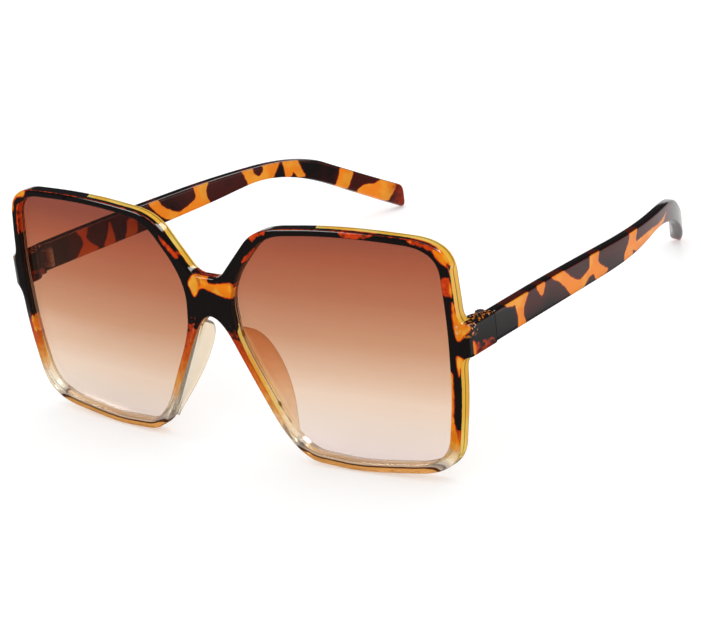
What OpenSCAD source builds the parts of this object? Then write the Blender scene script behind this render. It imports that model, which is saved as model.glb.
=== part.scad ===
// Oversized square sunglasses: one moulded front with its nose pads, two lenses in a groove,
// two temples, and a three-knuckle metal hinge with its screw at each end.
// The sizes are laid out on a front that stands upright and looks along -Y, with x = 0 between
// the lenses and z = 0 on the lens box's centre line. standing() then leans the whole pair back
// until the lower rims and the temple tips rest on z = 0.

/* [Lenses] */
// Width of a lens opening, nose side to temple side
lens_w = 63.4; // [56:0.1:68]
// Height of a lens opening
lens_h = 59.1; // [50:0.1:62]
// Thickness of a lens
lens_t = 1.6; // [1.2:0.1:2]
// How far a lens lies behind the face of the rim
lens_recess = 1.7; // [1.2:0.1:1.9]
// Radius of the ball that the front and both lenses are bent to
front_r = 505; // [300:5:900]

/* [Lens edge] */
// Thickness of the tongue round a lens
tongue_t = 0.8; // [0.5:0.1:1]
// How far the tongue stands into the rim's groove
tongue_d = 0.65; // [0.4:0.05:0.8]

/* [Rims] */
// Depth of the rim, front to back
rim_t = 3.8; // [3.6:0.1:5]
// Width of the rim above a lens
rim_top_w = 1.75; // [1.6:0.05:3]
// Width of the rim at the temple side
rim_side_w = 2.65; // [2:0.05:4]
// Width of the rim below a lens
rim_bottom_w = 2.6; // [1.8:0.05:4]
// Width of the rim beside the nose
rim_nose_w = 1.9; // [1.7:0.05:3]
// Width of the rim at its slanting corner above the nose
rim_brow_w = 3.1; // [2:0.05:4]

/* [Bridge] */
// Gap between the two lens openings
bridge_w = 15.2; // [14:0.1:20]
// Height of the bridge's top edge above the centre line
bridge_top = 15.1; // [12:0.1:17]
// Height of the nose arch above the centre line
bridge_arch = 4.5; // [2:0.1:6]
// Size of the curve where the bridge's top turns up into a rim
bridge_round = 2.6; // [1:0.1:4]

/* [Nose pads] */
// How far a pad stands behind the rim
pad_d = 7.2; // [4:0.1:9]
// Thickness of a pad
pad_t = 1.7; // [1.4:0.1:1.9]
// Length of a pad along the rim
pad_l = 33; // [24:0.5:34]
// How far the pad's upper end lies above the centre line
pad_top = 1.6; // [0:0.1:3]
// Lean of a pad towards its lens
pad_splay = 2; // [0:1:12]
// How far a pad lies inside the edge of the rim
pad_inset = 0.15; // [0.1:0.05:0.3]

/* [Endpieces] */
// How far an endpiece stands out past the rim
end_out = 3.15; // [2:0.05:5]
// How much thicker than the temple its wall is where it turns back
end_shoulder = 1.9; // [0.5:0.1:2.5]
// Length of that thicker part behind the rim
end_turn = 4.2; // [2:0.1:5]
// Distance from the face of the rim, at its outer edge, back to the temple joint
end_l = 11.6; // [9:0.1:14]
// Height of the endpiece's top above the centre line
end_top = 10.2; // [8:0.1:12]
// Height of the endpiece's underside above the centre line
end_bottom = 1.8; // [0:0.1:3]
// Radius of the endpiece's outer corner
end_corner = 3; // [1:0.1:4]
// Size of the fillet where the endpiece leaves the rim
end_fillet = 4.2; // [1:0.1:5]

/* [Temples] */
// Length of a temple from its joint to its tip, measured front to back
temple_l = 127.5; // [115:0.5:140]
// Thickness of a temple
temple_t = 3; // [2.8:0.1:3.4]
// Height of a temple at its joint
temple_h = 7.9; // [7:0.1:10]
// Height of a temple half way along
temple_mid_h = 7.2; // [6:0.1:9]
// How far the underside rises from there to the waist before the bend
temple_waist = 2.4; // [0:0.1:4]
// Height of a temple at its tip
temple_tip_h = 7; // [4:0.1:8]
// How far the top of a temple sinks from its joint to its bend
temple_sink = 4.2; // [0:0.1:8]
// How far the tip drops below the bend
tip_drop = 17.5; // [10:0.5:24]
// How far a temple has come in towards the head at its bend
bend_in = 4.1; // [0:0.1:6]
// How far its tip has come in
tip_in = 27.3; // [15:0.1:32]
// Rounding of the tip's corners
tip_round = 2.2; // [1:0.1:3]

/* [Hinges] */
// Outer diameter of a knuckle
knuckle_d = 2.8; // [2.4:0.1:3]
// Height of one knuckle
knuckle_h = 1.55; // [1.2:0.05:1.8]
// Height of the middle of the hinge above the centre line
hinge_z = 6.6; // [6:0.1:7]
// Diameter of the hinge screw
screw_d = 1.4; // [1.2:0.05:1.6]
// Diameter of the screw's head
head_d = 2.3; // [2:0.05:2.4]
// Height of the screw's head
head_h = 0.6; // [0.4:0.05:0.8]
// Width of the slot in the screw's head
slot_w = 0.35; // [0.25:0.05:0.5]
// Depth of the slot in the screw's head
slot_d = 0.3; // [0.2:0.05:0.4]
// Thickness of a hinge leaf
leaf_t = 0.8; // [0.6:0.05:1]
// Length of the leaf in the temple
temple_leaf_l = 7; // [5:0.1:9]
// Length of the leaf in the endpiece
front_leaf_l = 5.2; // [4:0.1:6]

/* [Fits] */
// Gap between the end of the endpiece and the end of the temple
seam_gap = 0.12; // [0.05:0.01:0.3]
// Running clearance round the screw
screw_gap = 0.05; // [0.03:0.01:0.08]
// Clearance round the screw's thread in its knuckle
thread_gap = 0.01; // [0.01:0.005:0.02]
// Gap between neighbouring knuckles
knuckle_gap = 0.06; // [0.04:0.01:0.1]
// Gap between the knuckles and the plastic beside them
barrel_gap = 0.1; // [0.05:0.01:0.2]
// Clearance round a leaf in its pocket
leaf_gap = 0.02; // [0.01:0.01:0.05]
// Clearance round a lens in its groove
lens_gap = 0.03; // [0.01:0.01:0.06]

/* [Hidden] */
// Overrun of every cut past the face that it opens
over = 1;
// Steps in each rounded corner of an outline
corner_steps = 8;
// Steps in a temple's long bend
bend_steps = 14;
ball_fn = 360;
round_fn = 48;
// The wearer's left is +X, the right is -X
left = 1;
right = -1;

// Corners of a lens opening as shares of its width and height from its middle, for the lens on
// the +X side, going clockwise as seen from the front, with x towards the temple
lens_corner_shares = [
  [-0.306, 0.473], [0.05, 0.507], [0.482, 0.482], [0.504, 0.165], [0.49, -0.144],
  [0.436, -0.458], [0.025, -0.503], [-0.257, -0.485], [-0.487, -0.015], [-0.51, 0.226]
];
// How much of the two sides at each corner its curve takes
curve_shares = [0.3, 0.5, 0.35, 0.42, 0.33, 0.39, 0.23, 0.38, 0.27, 0.48];
// The rim's width along each side of that outline, starting at its first corner
rim_widths = [
  rim_top_w, rim_top_w, rim_side_w, rim_side_w, rim_side_w,
  rim_bottom_w, rim_bottom_w, rim_nose_w, rim_nose_w, rim_brow_w
];
// A pad's outline as shares of its length and depth, from its upper end to its lower end
pad_corner_shares = [[0, 0], [0.16, 1.05], [0.58, 1.05], [1, 0]];
pad_curve_share = 0.5;
// Depth to which a pad or an endpiece is sunk into the back of the rim, clear of the groove
sink_share = 0.8;
sink = (rim_t - lens_recess - lens_t) * sink_share;
// Places along a temple as shares of its length: the crown of its top, its middle, its waist and
// its bend
crown_share = 0.233;
mid_share = 0.494;
waist_share = 0.735;
bend_share = 0.777;
// How far the top has sunk at the crown, as a share of temple_sink
crown_sink_share = 0.15;
// The share of the straight part that the inward bend's curve takes
bow_share = 0.45;
// Shares of the two sides that the curves take at the crown, bend, middle and waist
crown_curve_share = 0.45;
bend_curve_share = 0.22;
mid_curve_share = 0.3;
waist_curve_share = 0.45;

lens_x = (bridge_w + lens_w) / 2;
rim_x = bridge_w / 2 + lens_w + rim_side_w;
end_x = rim_x + end_out;

function mix(p, q, s) = p + (q - p) * s;
function unit(v) = v / norm(v);
// Outward normal of a side, on an outline that runs clockwise
function outward(p, q) = unit([p[1] - q[1], q[0] - p[0]]);
// Where the line through p along u meets the line through q along v
function crossing(p, u, q, v) =
  p + u * (((q - p)[0] * v[1] - (q - p)[1] * v[0]) / (u[0] * v[1] - u[1] * v[0]));
// Points of a quadratic curve from p to r that leans to q
function curve(p, q, r, steps) =
  [for (k = [0:steps]) let (s = k / steps) mix(mix(p, q, s), mix(q, r, s), s)];
// The curve that takes a share of the two sides at corner q, between its neighbours p and r
function corner(p, q, r, share) = curve(mix(q, p, share), q, mix(q, r, share), corner_steps);
// The same, where the curve takes a given length of each side
function round_corner(p, q, r, size) =
  curve(q + unit(p - q) * size, q, q + unit(r - q) * size, corner_steps);
function before(list, i) = list[(i + len(list) - 1) % len(list)];
function after(list, i) = list[(i + 1) % len(list)];
// A closed outline with every corner rounded
function rounded(corners, shares) =
  [for (i = [0:len(corners) - 1])
    each corner(before(corners, i), corners[i], after(corners, i), shares[i])];
// A clockwise outline with each side moved outwards by its own width
function widened(corners, widths) =
  [for (i = [0:len(corners) - 1])
    let (p = before(corners, i), q = corners[i], r = after(corners, i))
    crossing(p + outward(p, q) * before(widths, i), unit(q - p),
             q + outward(q, r) * widths[i], unit(r - q))];
function grown(corners, width) = widened(corners, [for (c = corners) width]);
function turned_over(points) = [for (i = [len(points) - 1:-1:0]) [-points[i][0], points[i][1]]];
// How far the face of the front lies behind its middle
function sag(x, z) = front_r - sqrt(front_r * front_r - x * x - z * z);

lens_corners = [for (c = lens_corner_shares) [lens_x + c[0] * lens_w, c[1] * lens_h]];
rim_corners = widened(lens_corners, rim_widths);
// Of the rim's ten corners, the last two lie inside the bridge
low_nose = rim_corners[7];
nose = rim_corners[8];
brow = rim_corners[9];
bridge_corner = crossing([0, bridge_top], [1, 0], brow, unit(rim_corners[0] - brow));
arch_corner = crossing(low_nose, unit(nose - low_nose), [0, 0], [0, 1]);
// The share of the side beside the nose that brings the arch's curve down to bridge_arch
arch_share = 2 * (arch_corner[1] - bridge_arch) / (arch_corner[1] - low_nose[1]);

front_half = concat(
  round_corner([0, bridge_top], bridge_corner, rim_corners[0], bridge_round),
  [for (i = [0:7])
    each corner(before(rim_corners, i), rim_corners[i], rim_corners[i + 1], curve_shares[i])]
);
front_arch = curve(mix(arch_corner, low_nose, arch_share), arch_corner,
                   mix(arch_corner, [-low_nose[0], low_nose[1]], arch_share), corner_steps);
front_points = concat(front_half, front_arch, turned_over(front_half));

// The temple joint, and the hinge axis beside it
seam_y = sag(rim_x, 0) + end_l;
hinge_x = end_x - temple_t - barrel_gap - knuckle_d / 2;
hinge_h = 3 * knuckle_h + 2 * knuckle_gap;
hinge_low = hinge_z - hinge_h / 2;
screw_hole_r = screw_d / 2 + screw_gap;
thread_hole_r = screw_d / 2 + thread_gap;
// A leaf lies in the middle of the temple's thickness, measured from the hinge axis
leaf_in = end_x - temple_t / 2 - leaf_t / 2 - hinge_x;
leaf_out = leaf_in + leaf_t;
leaf_start = seam_gap / 2 + leaf_gap;
// Length of the web that joins a knuckle to its leaf
web_l = knuckle_d;

// A temple from above: its outer face, from the joint to the tip
temple_start = [end_x, seam_y + seam_gap / 2];
temple_bend = [end_x - bend_in, seam_y + bend_share * temple_l];
temple_tip = [end_x - tip_in, seam_y + temple_l];
temple_line = concat([temple_start],
  curve(mix(temple_bend, temple_start, bow_share), temple_bend, temple_tip, bend_steps));
temple_inner_line = [for (i = [0:len(temple_line) - 1])
  i == 0 ? temple_start - [temple_t, 0] :
  let (p = temple_line[i - 1], r = temple_line[min(i + 1, len(temple_line) - 1)])
  temple_line[i] + outward(p, r) * temple_t];
temple_plan = concat(temple_line,
  [for (i = [len(temple_inner_line) - 1:-1:0]) temple_inner_line[i]]);
// A temple from the side: its top and its underside as [y, z]
function temple_place(share, z) = [seam_y + share * temple_l, z];
top_start = [temple_start[1], end_top];
top_crown = temple_place(crown_share, end_top - crown_sink_share * temple_sink);
top_bend = temple_place(bend_share, end_top - temple_sink);
top_tip = temple_place(1, end_top - temple_sink - tip_drop);
top_mid = mix(top_crown, top_bend, (mid_share - crown_share) / (bend_share - crown_share));
low_start = top_start - [0, temple_h];
low_mid = top_mid - [0, temple_mid_h];
low_waist = temple_place(waist_share, low_mid[1] + temple_waist);
low_tip = top_tip - [0, temple_tip_h];
temple_side = concat(
  [top_start],
  corner(top_start, top_crown, top_bend, crown_curve_share),
  corner(top_crown, top_bend, top_tip, bend_curve_share),
  round_corner(top_bend, top_tip, low_tip, tip_round),
  round_corner(top_tip, low_tip, low_waist, tip_round),
  corner(low_tip, low_waist, low_mid, waist_curve_share),
  corner(low_waist, low_mid, low_start, mid_curve_share),
  [low_start]
);

// The lean that brings the lower rims and the temple tips to one level
rim_edge = [for (p = front_points) [sag(p[0], p[1]) + rim_t, p[1]]];
function lowest(points, lean) =
  let (heights = [for (p = points) p[1] * cos(lean) - p[0] * sin(lean)])
  points[search(min(heights), heights)[0]];
first_lean = atan2(low_tip[1] - lowest(rim_edge, 0)[1], low_tip[0]);
rim_foot = lowest(rim_edge, first_lean);
tip_foot = lowest(temple_side, first_lean);
lean = atan2(tip_foot[1] - rim_foot[1], tip_foot[0] - rim_foot[0]);
// The frame's origin is under the middle of the whole pair
function leaned_y(p) = p[0] * cos(lean) + p[1] * sin(lean);
front_y = min([for (p = front_points) leaned_y([sag(p[0], p[1]), p[1]])]);
back_y = max([for (p = temple_side) leaned_y(p)]);
stand_y = -(front_y + back_y) / 2;
stand_z = rim_foot[0] * sin(lean) - rim_foot[1] * cos(lean);

// Leans the upright pair back and sets it on z = 0
module standing() {
  translate([0, stand_y, stand_z]) rotate([-lean, 0, 0]) children();
}
// Builds the +X side as it is, and the -X side as its mirror image
module on_side(side) {
  if (side == left) children();
  else mirror([1, 0, 0]) children();
}
// Extrudes an outline in x and z from y = start to y = stop
module depth_extrude(start, stop) {
  translate([0, stop, 0]) rotate([90, 0, 0]) linear_extrude(stop - start) children();
}
// The ball whose surface lies behind the front's face by depth
module ball(depth) {
  translate([0, front_r, 0]) sphere(r = front_r - depth, $fn = ball_fn);
}
// The curved slice that an outline cuts from the shell between two depths
module curved_plate(points, depth, thickness) {
  reach = sag(end_x, lens_h / 2) + depth + thickness + over;
  difference() {
    intersection() {
      depth_extrude(-over, reach) polygon(points);
      ball(depth);
    }
    ball(depth + thickness);
  }
}
// The opening in a rim, and the groove round it for the lens's tongue
module lens_seat() {
  outline = rounded(lens_corners, curve_shares);
  depth_extrude(-over, sag(end_x, lens_h / 2) + rim_t + over) polygon(outline);
  curved_plate(
    rounded(grown(lens_corners, tongue_d + lens_gap), curve_shares),
    lens_recess + (lens_t - tongue_t) / 2 - lens_gap, tongue_t + 2 * lens_gap);
}
// Corner block that carries the temple: it stands out past the rim and turns back to the joint
module endpiece() {
  face_y = sag(rim_x, 0);
  inside_x = rim_x - rim_side_w / 2;
  back_y = sag(inside_x, 0) + rim_t;
  wall_x = end_x - temple_t;
  shoulder_x = wall_x - end_shoulder;
  plan = concat(
    [[inside_x, face_y]],
    round_corner([inside_x, face_y], [end_x, face_y], [end_x, seam_y], end_corner),
    [[end_x, seam_y - seam_gap / 2], [wall_x, seam_y - seam_gap / 2]],
    [[wall_x, seam_y - knuckle_d / 2], [shoulder_x, back_y + end_turn]],
    [[shoulder_x, back_y - sink], [inside_x, back_y - sink]]
  );
  from_front = concat(
    [[inside_x, end_top + end_fillet]],
    curve([rim_x, end_top + end_fillet], [rim_x, end_top], [end_x, end_top], corner_steps),
    curve([end_x, end_bottom], [rim_x, end_bottom], [rim_x, end_bottom - end_fillet], corner_steps),
    [[inside_x, end_bottom - end_fillet]]
  );
  intersection() {
    translate([0, 0, end_bottom - end_fillet])
      linear_extrude(end_top - end_bottom + 2 * end_fillet) polygon(plan);
    ball(0);
    union() {
      translate([0, 0, end_bottom]) linear_extrude(end_top - end_bottom) polygon(plan);
      depth_extrude(face_y, back_y) polygon(from_front);
    }
  }
}
// Fin behind the rim beside the nose, moulded in one with it and flush with the nose arch
module nose_pad() {
  along = unit(low_nose - nose);
  top_point = nose + along * ((nose[1] - pad_top) / -along[1]);
  low_point = top_point + along * pad_l;
  top_y = sag(top_point[0], top_point[1]) + rim_t;
  low_y = sag(low_point[0], low_point[1]) + rim_t;
  corners = [for (c = pad_corner_shares) [c[0] * pad_l, c[1] * pad_d]];
  outline = concat(
    [[0, -sink]], [corners[0]],
    corner(corners[0], corners[1], corners[2], pad_curve_share),
    corner(corners[1], corners[2], corners[3], pad_curve_share),
    [corners[3]], [[pad_l, -sink]]
  );
  intersection() {
    depth_extrude(0, low_y + 2 * pad_d) polygon(front_points);
    translate([top_point[0], top_y, top_point[1]])
      rotate([0, atan2(-along[1], along[0]), 0])
        rotate([pad_splay, 0, 0])
          rotate([0, 0, atan2(low_y - top_y, pad_l)])
            translate([0, 0, pad_inset]) linear_extrude(pad_t) polygon(outline);
  }
}
// A leaf and its web from above, from the hinge axis into the temple, grown by a clearance
function leaf_plan(length, gap) = [
  [leaf_in - gap, leaf_start - gap], [leaf_out + gap, leaf_start - gap],
  [leaf_out + gap, length + gap], [leaf_in - gap, length + gap]
];
function web_plan(gap) = [
  [0, 0], [leaf_in, leaf_start - gap], [leaf_out + gap, leaf_start - gap],
  [leaf_out + gap, web_l + gap], [leaf_in - gap, web_l + gap], [0, knuckle_d / 2 + gap]
];
// Builds at the hinge axis, with z = 0 at the foot of the hinge. The leaf runs to +y
module at_hinge() {
  translate([hinge_x, seam_y, hinge_low]) children();
}
// Foot of knuckle 0, 1 or 2, counted from below
function knuckle_foot(i) = i * (knuckle_h + knuckle_gap);
module leaf_plate(length) {
  linear_extrude(hinge_h) polygon(leaf_plan(length, 0));
}
module knuckle(i, hole_r) {
  translate([0, 0, knuckle_foot(i)]) difference() {
    union() {
      cylinder(d = knuckle_d, h = knuckle_h, $fn = round_fn);
      linear_extrude(knuckle_h) polygon(web_plan(0));
    }
    translate([0, 0, -over]) cylinder(r = hole_r, h = knuckle_h + 2 * over, $fn = round_fn);
  }
}
// The pocket for a leaf and its webs, open at the end face and at the inner side
module leaf_pocket(length) {
  translate([0, 0, -leaf_gap]) linear_extrude(hinge_h + 2 * leaf_gap) {
    polygon(leaf_plan(length, leaf_gap));
    polygon(web_plan(leaf_gap));
    translate([0, -over]) square([leaf_out + leaf_gap, over + leaf_start]);
  }
}

module front_frame() color("saddlebrown") standing() {
  difference() {
    union() {
      difference() {
        curved_plate(front_points, 0, rim_t);
        for (side = [left, right]) on_side(side) lens_seat();
      }
      for (side = [left, right]) on_side(side) {
        endpiece();
        nose_pad();
      }
    }
    for (side = [left, right]) on_side(side)
      at_hinge() mirror([0, 1, 0]) leaf_pocket(front_leaf_l);
  }
}
module lens(side) color("rosybrown", 0.6) standing() on_side(side) {
  curved_plate(rounded(grown(lens_corners, -lens_gap), curve_shares), lens_recess, lens_t);
  curved_plate(rounded(grown(lens_corners, tongue_d), curve_shares),
               lens_recess + (lens_t - tongue_t) / 2, tongue_t);
}
module temple(side) color("sienna") standing() on_side(side) {
  difference() {
    intersection() {
      translate([0, 0, low_tip[1] - over])
        linear_extrude(end_top - low_tip[1] + 2 * over) polygon(temple_plan);
      translate([temple_tip[0] - temple_t - over, 0, 0]) rotate([90, 0, 90])
        linear_extrude(tip_in + temple_t + 2 * over) polygon(temple_side);
    }
    at_hinge() leaf_pocket(temple_leaf_l);
  }
}
module hinge_front_leaf(side) color("silver") standing() on_side(side) at_hinge()
  mirror([0, 1, 0]) {
    leaf_plate(front_leaf_l);
    knuckle(0, thread_hole_r);
    knuckle(2, screw_hole_r);
  }
module hinge_temple_leaf(side) color("silver") standing() on_side(side) at_hinge() {
  leaf_plate(temple_leaf_l);
  knuckle(1, screw_hole_r);
}
module hinge_screw(side) color("gainsboro") standing() on_side(side) at_hinge() {
  cylinder(d = screw_d, h = hinge_h, $fn = round_fn);
  translate([0, 0, hinge_h]) difference() {
    cylinder(d = head_d, h = head_h, $fn = round_fn);
    translate([-head_d, -slot_w / 2, head_h - slot_d]) cube([2 * head_d, slot_w, slot_d + over]);
  }
}

front_frame();
lens(left);  // lens_left
lens(right);  // lens_right
temple(left);  // temple_left
temple(right);  // temple_right
hinge_front_leaf(left);  // hinge_front_leaf_left
hinge_front_leaf(right);  // hinge_front_leaf_right
hinge_temple_leaf(left);  // hinge_temple_leaf_left
hinge_temple_leaf(right);  // hinge_temple_leaf_right
hinge_screw(left);  // hinge_screw_left
hinge_screw(right);  // hinge_screw_right
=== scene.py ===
"""Dresses a pair of oversized sunglasses: a moulded front whose tortoise face fades to clear, two
graded lenses, two tortoise temples and their metal hinges, on a pale floor in soft light.

Sizes are in millimetres on a front that stands upright and looks along -Y, with x = 0 between the
lenses and z = 0 on their centre line. Stand leans the whole pair back on to the floor, in metres.
"""
import logging
import math
from dataclasses import dataclass
from enum import Enum
from typing import Sequence, Union

import bmesh
import bpy
import numpy as np
from mathutils import Matrix, Vector
from mathutils.geometry import delaunay_2d_cdt


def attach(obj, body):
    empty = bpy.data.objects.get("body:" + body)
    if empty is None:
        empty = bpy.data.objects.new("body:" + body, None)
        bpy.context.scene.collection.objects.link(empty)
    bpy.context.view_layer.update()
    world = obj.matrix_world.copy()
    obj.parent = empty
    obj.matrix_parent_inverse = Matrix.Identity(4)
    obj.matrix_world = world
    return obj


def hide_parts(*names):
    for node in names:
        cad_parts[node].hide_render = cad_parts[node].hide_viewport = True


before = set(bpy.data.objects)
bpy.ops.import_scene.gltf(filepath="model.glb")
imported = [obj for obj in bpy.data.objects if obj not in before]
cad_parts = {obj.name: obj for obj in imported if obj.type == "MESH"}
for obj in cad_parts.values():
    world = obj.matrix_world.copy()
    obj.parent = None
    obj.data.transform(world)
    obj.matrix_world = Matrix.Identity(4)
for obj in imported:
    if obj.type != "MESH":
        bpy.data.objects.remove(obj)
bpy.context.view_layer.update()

LOG = logging.getLogger("sunglasses")
MM = 0.001
Array = np.ndarray
Piece = bpy.types.Object
Finish = bpy.types.Material
Socket = bpy.types.NodeSocket
Point = tuple[float, float, float]
Colour = tuple[float, float, float]
Span = tuple[float, float]
Corners = tuple[tuple[float, float], ...]
Grain = Union[tuple[float, float], tuple[float, float, Point]]
Spots = tuple[Grain, Span]
Value = Union[Socket, float]
Paint = Union[Socket, Colour]
Outline = Sequence[tuple[float, float]]
Patches = Sequence[Outline]

BLACK: Colour = (0, 0, 0)
WHITE: Colour = (1, 1, 1)
CORNER_STEPS = 12
SAME_PLACE = 1e-7
NO_LENGTH = 1e-12
NO_GAP = 1e-9


class Side(Enum):
    """The wearer's side that a piece belongs to, as the sign of its x."""

    LEFT = 1
    RIGHT = -1

    @property
    def word(self) -> str:
        """The side's name as piece names spell it."""
        return self.name.lower()


@dataclass(frozen=True)
class Stand:
    """How the upright pair leans back and rests on the floor."""

    lean: float = math.radians(5.99073)
    back: float = -70.3163
    lift: float = 32.637

    def place(self, points: Array) -> Array:
        """Turns upright points in millimetres into the shared frame's metres.

        A point keeps its x, turns about X by the lean, and moves by back and lift.

        Args:
            points: n x 3 points.

        Returns:
            n x 3 points in metres.
        """
        c, s = math.cos(self.lean), math.sin(self.lean)
        x, y, z = points.T
        return np.stack([x, y * c + z * s + self.back, -y * s + z * c + self.lift], 1) * MM

    def upright(self, points: Array) -> Array:
        """Undoes place().

        Args:
            points: n x 3 points in metres.

        Returns:
            n x 3 upright points in millimetres.
        """
        c, s = math.cos(self.lean), math.sin(self.lean)
        x, y, z = (points / MM).T
        y, z = y - self.back, z - self.lift
        return np.stack([x, y * c - z * s, y * s + z * c], 1)


STAND = Stand()


def curve(p: Array, q: Array, r: Array, steps: int) -> Array:
    """Quadratic curve from p to r that leans to q: (1-s)^2 p + 2s(1-s) q + s^2 r.

    Args:
        p: First point.
        q: Point it leans to.
        r: Last point.
        steps: Number of equal steps in s.

    Returns:
        steps + 1 points.
    """
    p, q, r = (np.asarray(v, float) for v in (p, q, r))
    s = np.linspace(0, 1, steps + 1)[:, None]
    return (1 - s) ** 2 * p + 2 * s * (1 - s) * q + s**2 * r


def unit(v: Array) -> Array:
    """The vector, or each row's vector, at length one."""
    return v / np.linalg.norm(v, axis=-1, keepdims=True)


def corner_curve(p: Array, q: Array, r: Array, share: float, steps: int = CORNER_STEPS) -> Array:
    """The curve that takes a share of both sides at the corner q."""
    return curve(q + (p - q) * share, q, q + (r - q) * share, steps)


def sized_corner(p: Array, q: Array, r: Array, size: float) -> Array:
    """The curve that takes a given length of both sides at the corner q."""
    return curve(q + unit(p - q) * size, q, q + unit(r - q) * size, CORNER_STEPS)


def quarter_turn(count: int) -> Array:
    """Equal steps of angle from nought to a right angle."""
    return np.linspace(0, math.pi / 2, count)


def outwards(d: Array) -> Array:
    """The left-hand unit normal of a direction in x and z: outwards where a loop runs clockwise."""
    return unit(np.stack([-d[..., 1], d[..., 0]], -1))


def crossing(p: Array, u: Array, q: Array, v: Array) -> Array:
    """Where the line through p along u meets the line through q along v."""
    w = q - p
    return p + u * ((w[0] * v[1] - w[1] * v[0]) / (u[0] * v[1] - u[1] * v[0]))


def widened(corners: Array, widths: Sequence[float]) -> Array:
    """A clockwise outline with each side moved outwards by its own width.

    Args:
        corners: n x 2 corners.
        widths: Width of the side that starts at each corner.

    Returns:
        n x 2 corners, where the moved sides cross.
    """
    before, after = np.roll(corners, 1, 0), np.roll(corners, -1, 0)
    last = np.roll(np.asarray(widths, float), 1)
    rows = []
    for p, q, r, wide, wide_next in zip(before, corners, after, last, widths):
        m, n = outwards(q - p), outwards(r - q)
        rows.append(crossing(p + m * wide, unit(q - p), q + n * wide_next, unit(r - q)))
    return np.array(rows)


def run_along(line: Array) -> Array:
    """The length along a line up to each of its points."""
    return np.concatenate([[0], np.cumsum(np.linalg.norm(np.diff(line, axis=0), axis=1))])


def read_off(values: Array, run: Array, places: Array) -> Array:
    """Each column of the values at places along their run, by linear interpolation."""
    return np.stack([np.interp(places, run, column) for column in values.T], 1)


def evenly(points: Array, spacing: float, closed: bool = True) -> Array:
    """Points at equal distances along a line.

    Args:
        points: n x k points.
        spacing: Wanted distance, which is rounded to fit.
        closed: Whether the last point joins the first.

    Returns:
        m x k points. A closed line's first point isn't repeated.
    """
    line = np.vstack([points, points[:1]]) if closed else points
    length = run_along(line)
    count = max(3, round(length[-1] / spacing))
    places = np.linspace(0, length[-1], count + 1)
    return read_off(line, length, places[:-1] if closed else places)


def loop_normals(loop: Array) -> Array:
    """Outward normals of a clockwise closed loop, from the neighbours of each point."""
    return outwards(np.roll(loop, -1, 0) - np.roll(loop, 1, 0))


def inside(points: Array, loop: Array) -> Array:
    """Which points lie in a closed loop: those with an odd number of sides to their right.

    Args:
        points: n x 2 points.
        loop: m x 2 corners.

    Returns:
        n truth values.
    """
    px, pz = points[:, :1], points[:, 1:]
    ax, az = loop.T
    bx, bz = np.roll(loop, -1, 0).T
    spans = (az > pz) != (bz > pz)
    with np.errstate(divide="ignore", invalid="ignore"):
        cut = ax + (pz - az) * (bx - ax) / (bz - az)
    return (spans & (px < cut)).sum(1) % 2 == 1


def between_loops(points: Array, loops: list[Array]) -> Array:
    """Which points lie in the first loop and in none of the others."""
    return inside(points, loops[0]) & ~np.any([inside(points, hole) for hole in loops[1:]], axis=0)


def loop_distance(points: Array, loop: Array) -> Array:
    """Distance to a closed loop, negative inside it.

    The distance to each side is that to the nearest point a + t (b - a), with t held to 0..1.

    Args:
        points: n x 2 points.
        loop: m x 2 corners.

    Returns:
        n signed distances.
    """
    loop = np.asarray(loop, float)
    best = np.full(len(points), np.inf)
    for a, b in zip(loop, np.roll(loop, -1, 0)):
        d = b - a
        t = np.clip((points - a) @ d / max(float(d @ d), NO_LENGTH), 0, 1)
        best = np.minimum(best, np.linalg.norm(points - a - t[:, None] * d, axis=1))
    return np.where(inside(points, loop), -best, best)


def ring_faces(rings: int, count: int, start: int = 0) -> Array:
    """Quads between neighbouring closed rings of a grid.

    Args:
        rings: Number of rings.
        count: Points in each ring.
        start: Index of the grid's first point.

    Returns:
        Quads as rows of four indices.
    """
    i, j = np.indices((rings - 1, count)).reshape(2, -1)
    here, after = start + i * count, (j + 1) % count
    return np.stack([here + j, here + after, here + count + after, here + count + j], 1)


def linked(name: str, data: bpy.types.ID) -> Piece:
    """Puts a new object in the scene.

    Args:
        name: The object's name.
        data: Its mesh, camera or light.

    Returns:
        The new object.
    """
    thing = bpy.data.objects.new(name, data)
    bpy.context.scene.collection.objects.link(thing)
    return thing


def new_piece(name: str, points: Array, faces: list, crease: float) -> Piece:
    """Makes a closed piece from upright points, with outward faces and smooth shading.

    Args:
        name: The piece's name.
        points: n x 3 upright points in millimetres.
        faces: Faces as sequences of indices.
        crease: Angle in degrees past which an edge stays sharp.

    Returns:
        The new object.
    """
    mesh = bpy.data.meshes.new(name)
    mesh.from_pydata(STAND.place(np.asarray(points, float)), [], [list(map(int, f)) for f in faces])
    work = bmesh.new()
    work.from_mesh(mesh)
    bmesh.ops.remove_doubles(work, verts=work.verts, dist=SAME_PLACE)
    bmesh.ops.recalc_face_normals(work, faces=work.faces)
    work.to_mesh(mesh)
    work.free()
    smooth(mesh, crease)
    return linked(name, mesh)


def tube(name: str, rings: Array, crease: float = 40.0) -> Piece:
    """Makes a closed piece from rings of points, with a flat cap on the first and the last.

    Args:
        name: The piece's name.
        rings: rings x n x 3 upright points in millimetres.
        crease: Angle in degrees past which an edge stays sharp.

    Returns:
        The new object.
    """
    count, size = rings.shape[:2]
    last = (count - 1) * size
    faces = [*ring_faces(count, size), range(size), range(last, last + size)]
    return new_piece(name, rings.reshape(-1, 3), faces, crease)


def smooth(mesh: bpy.types.Mesh, crease: float) -> None:
    """Shades a mesh smooth.

    Args:
        mesh: The mesh.
        crease: Angle in degrees past which an edge stays sharp.
    """
    mesh.polygons.foreach_set("use_smooth", np.ones(len(mesh.polygons), bool))
    mesh.set_sharp_from_angle(angle=math.radians(crease))
    mesh.update()


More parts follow.
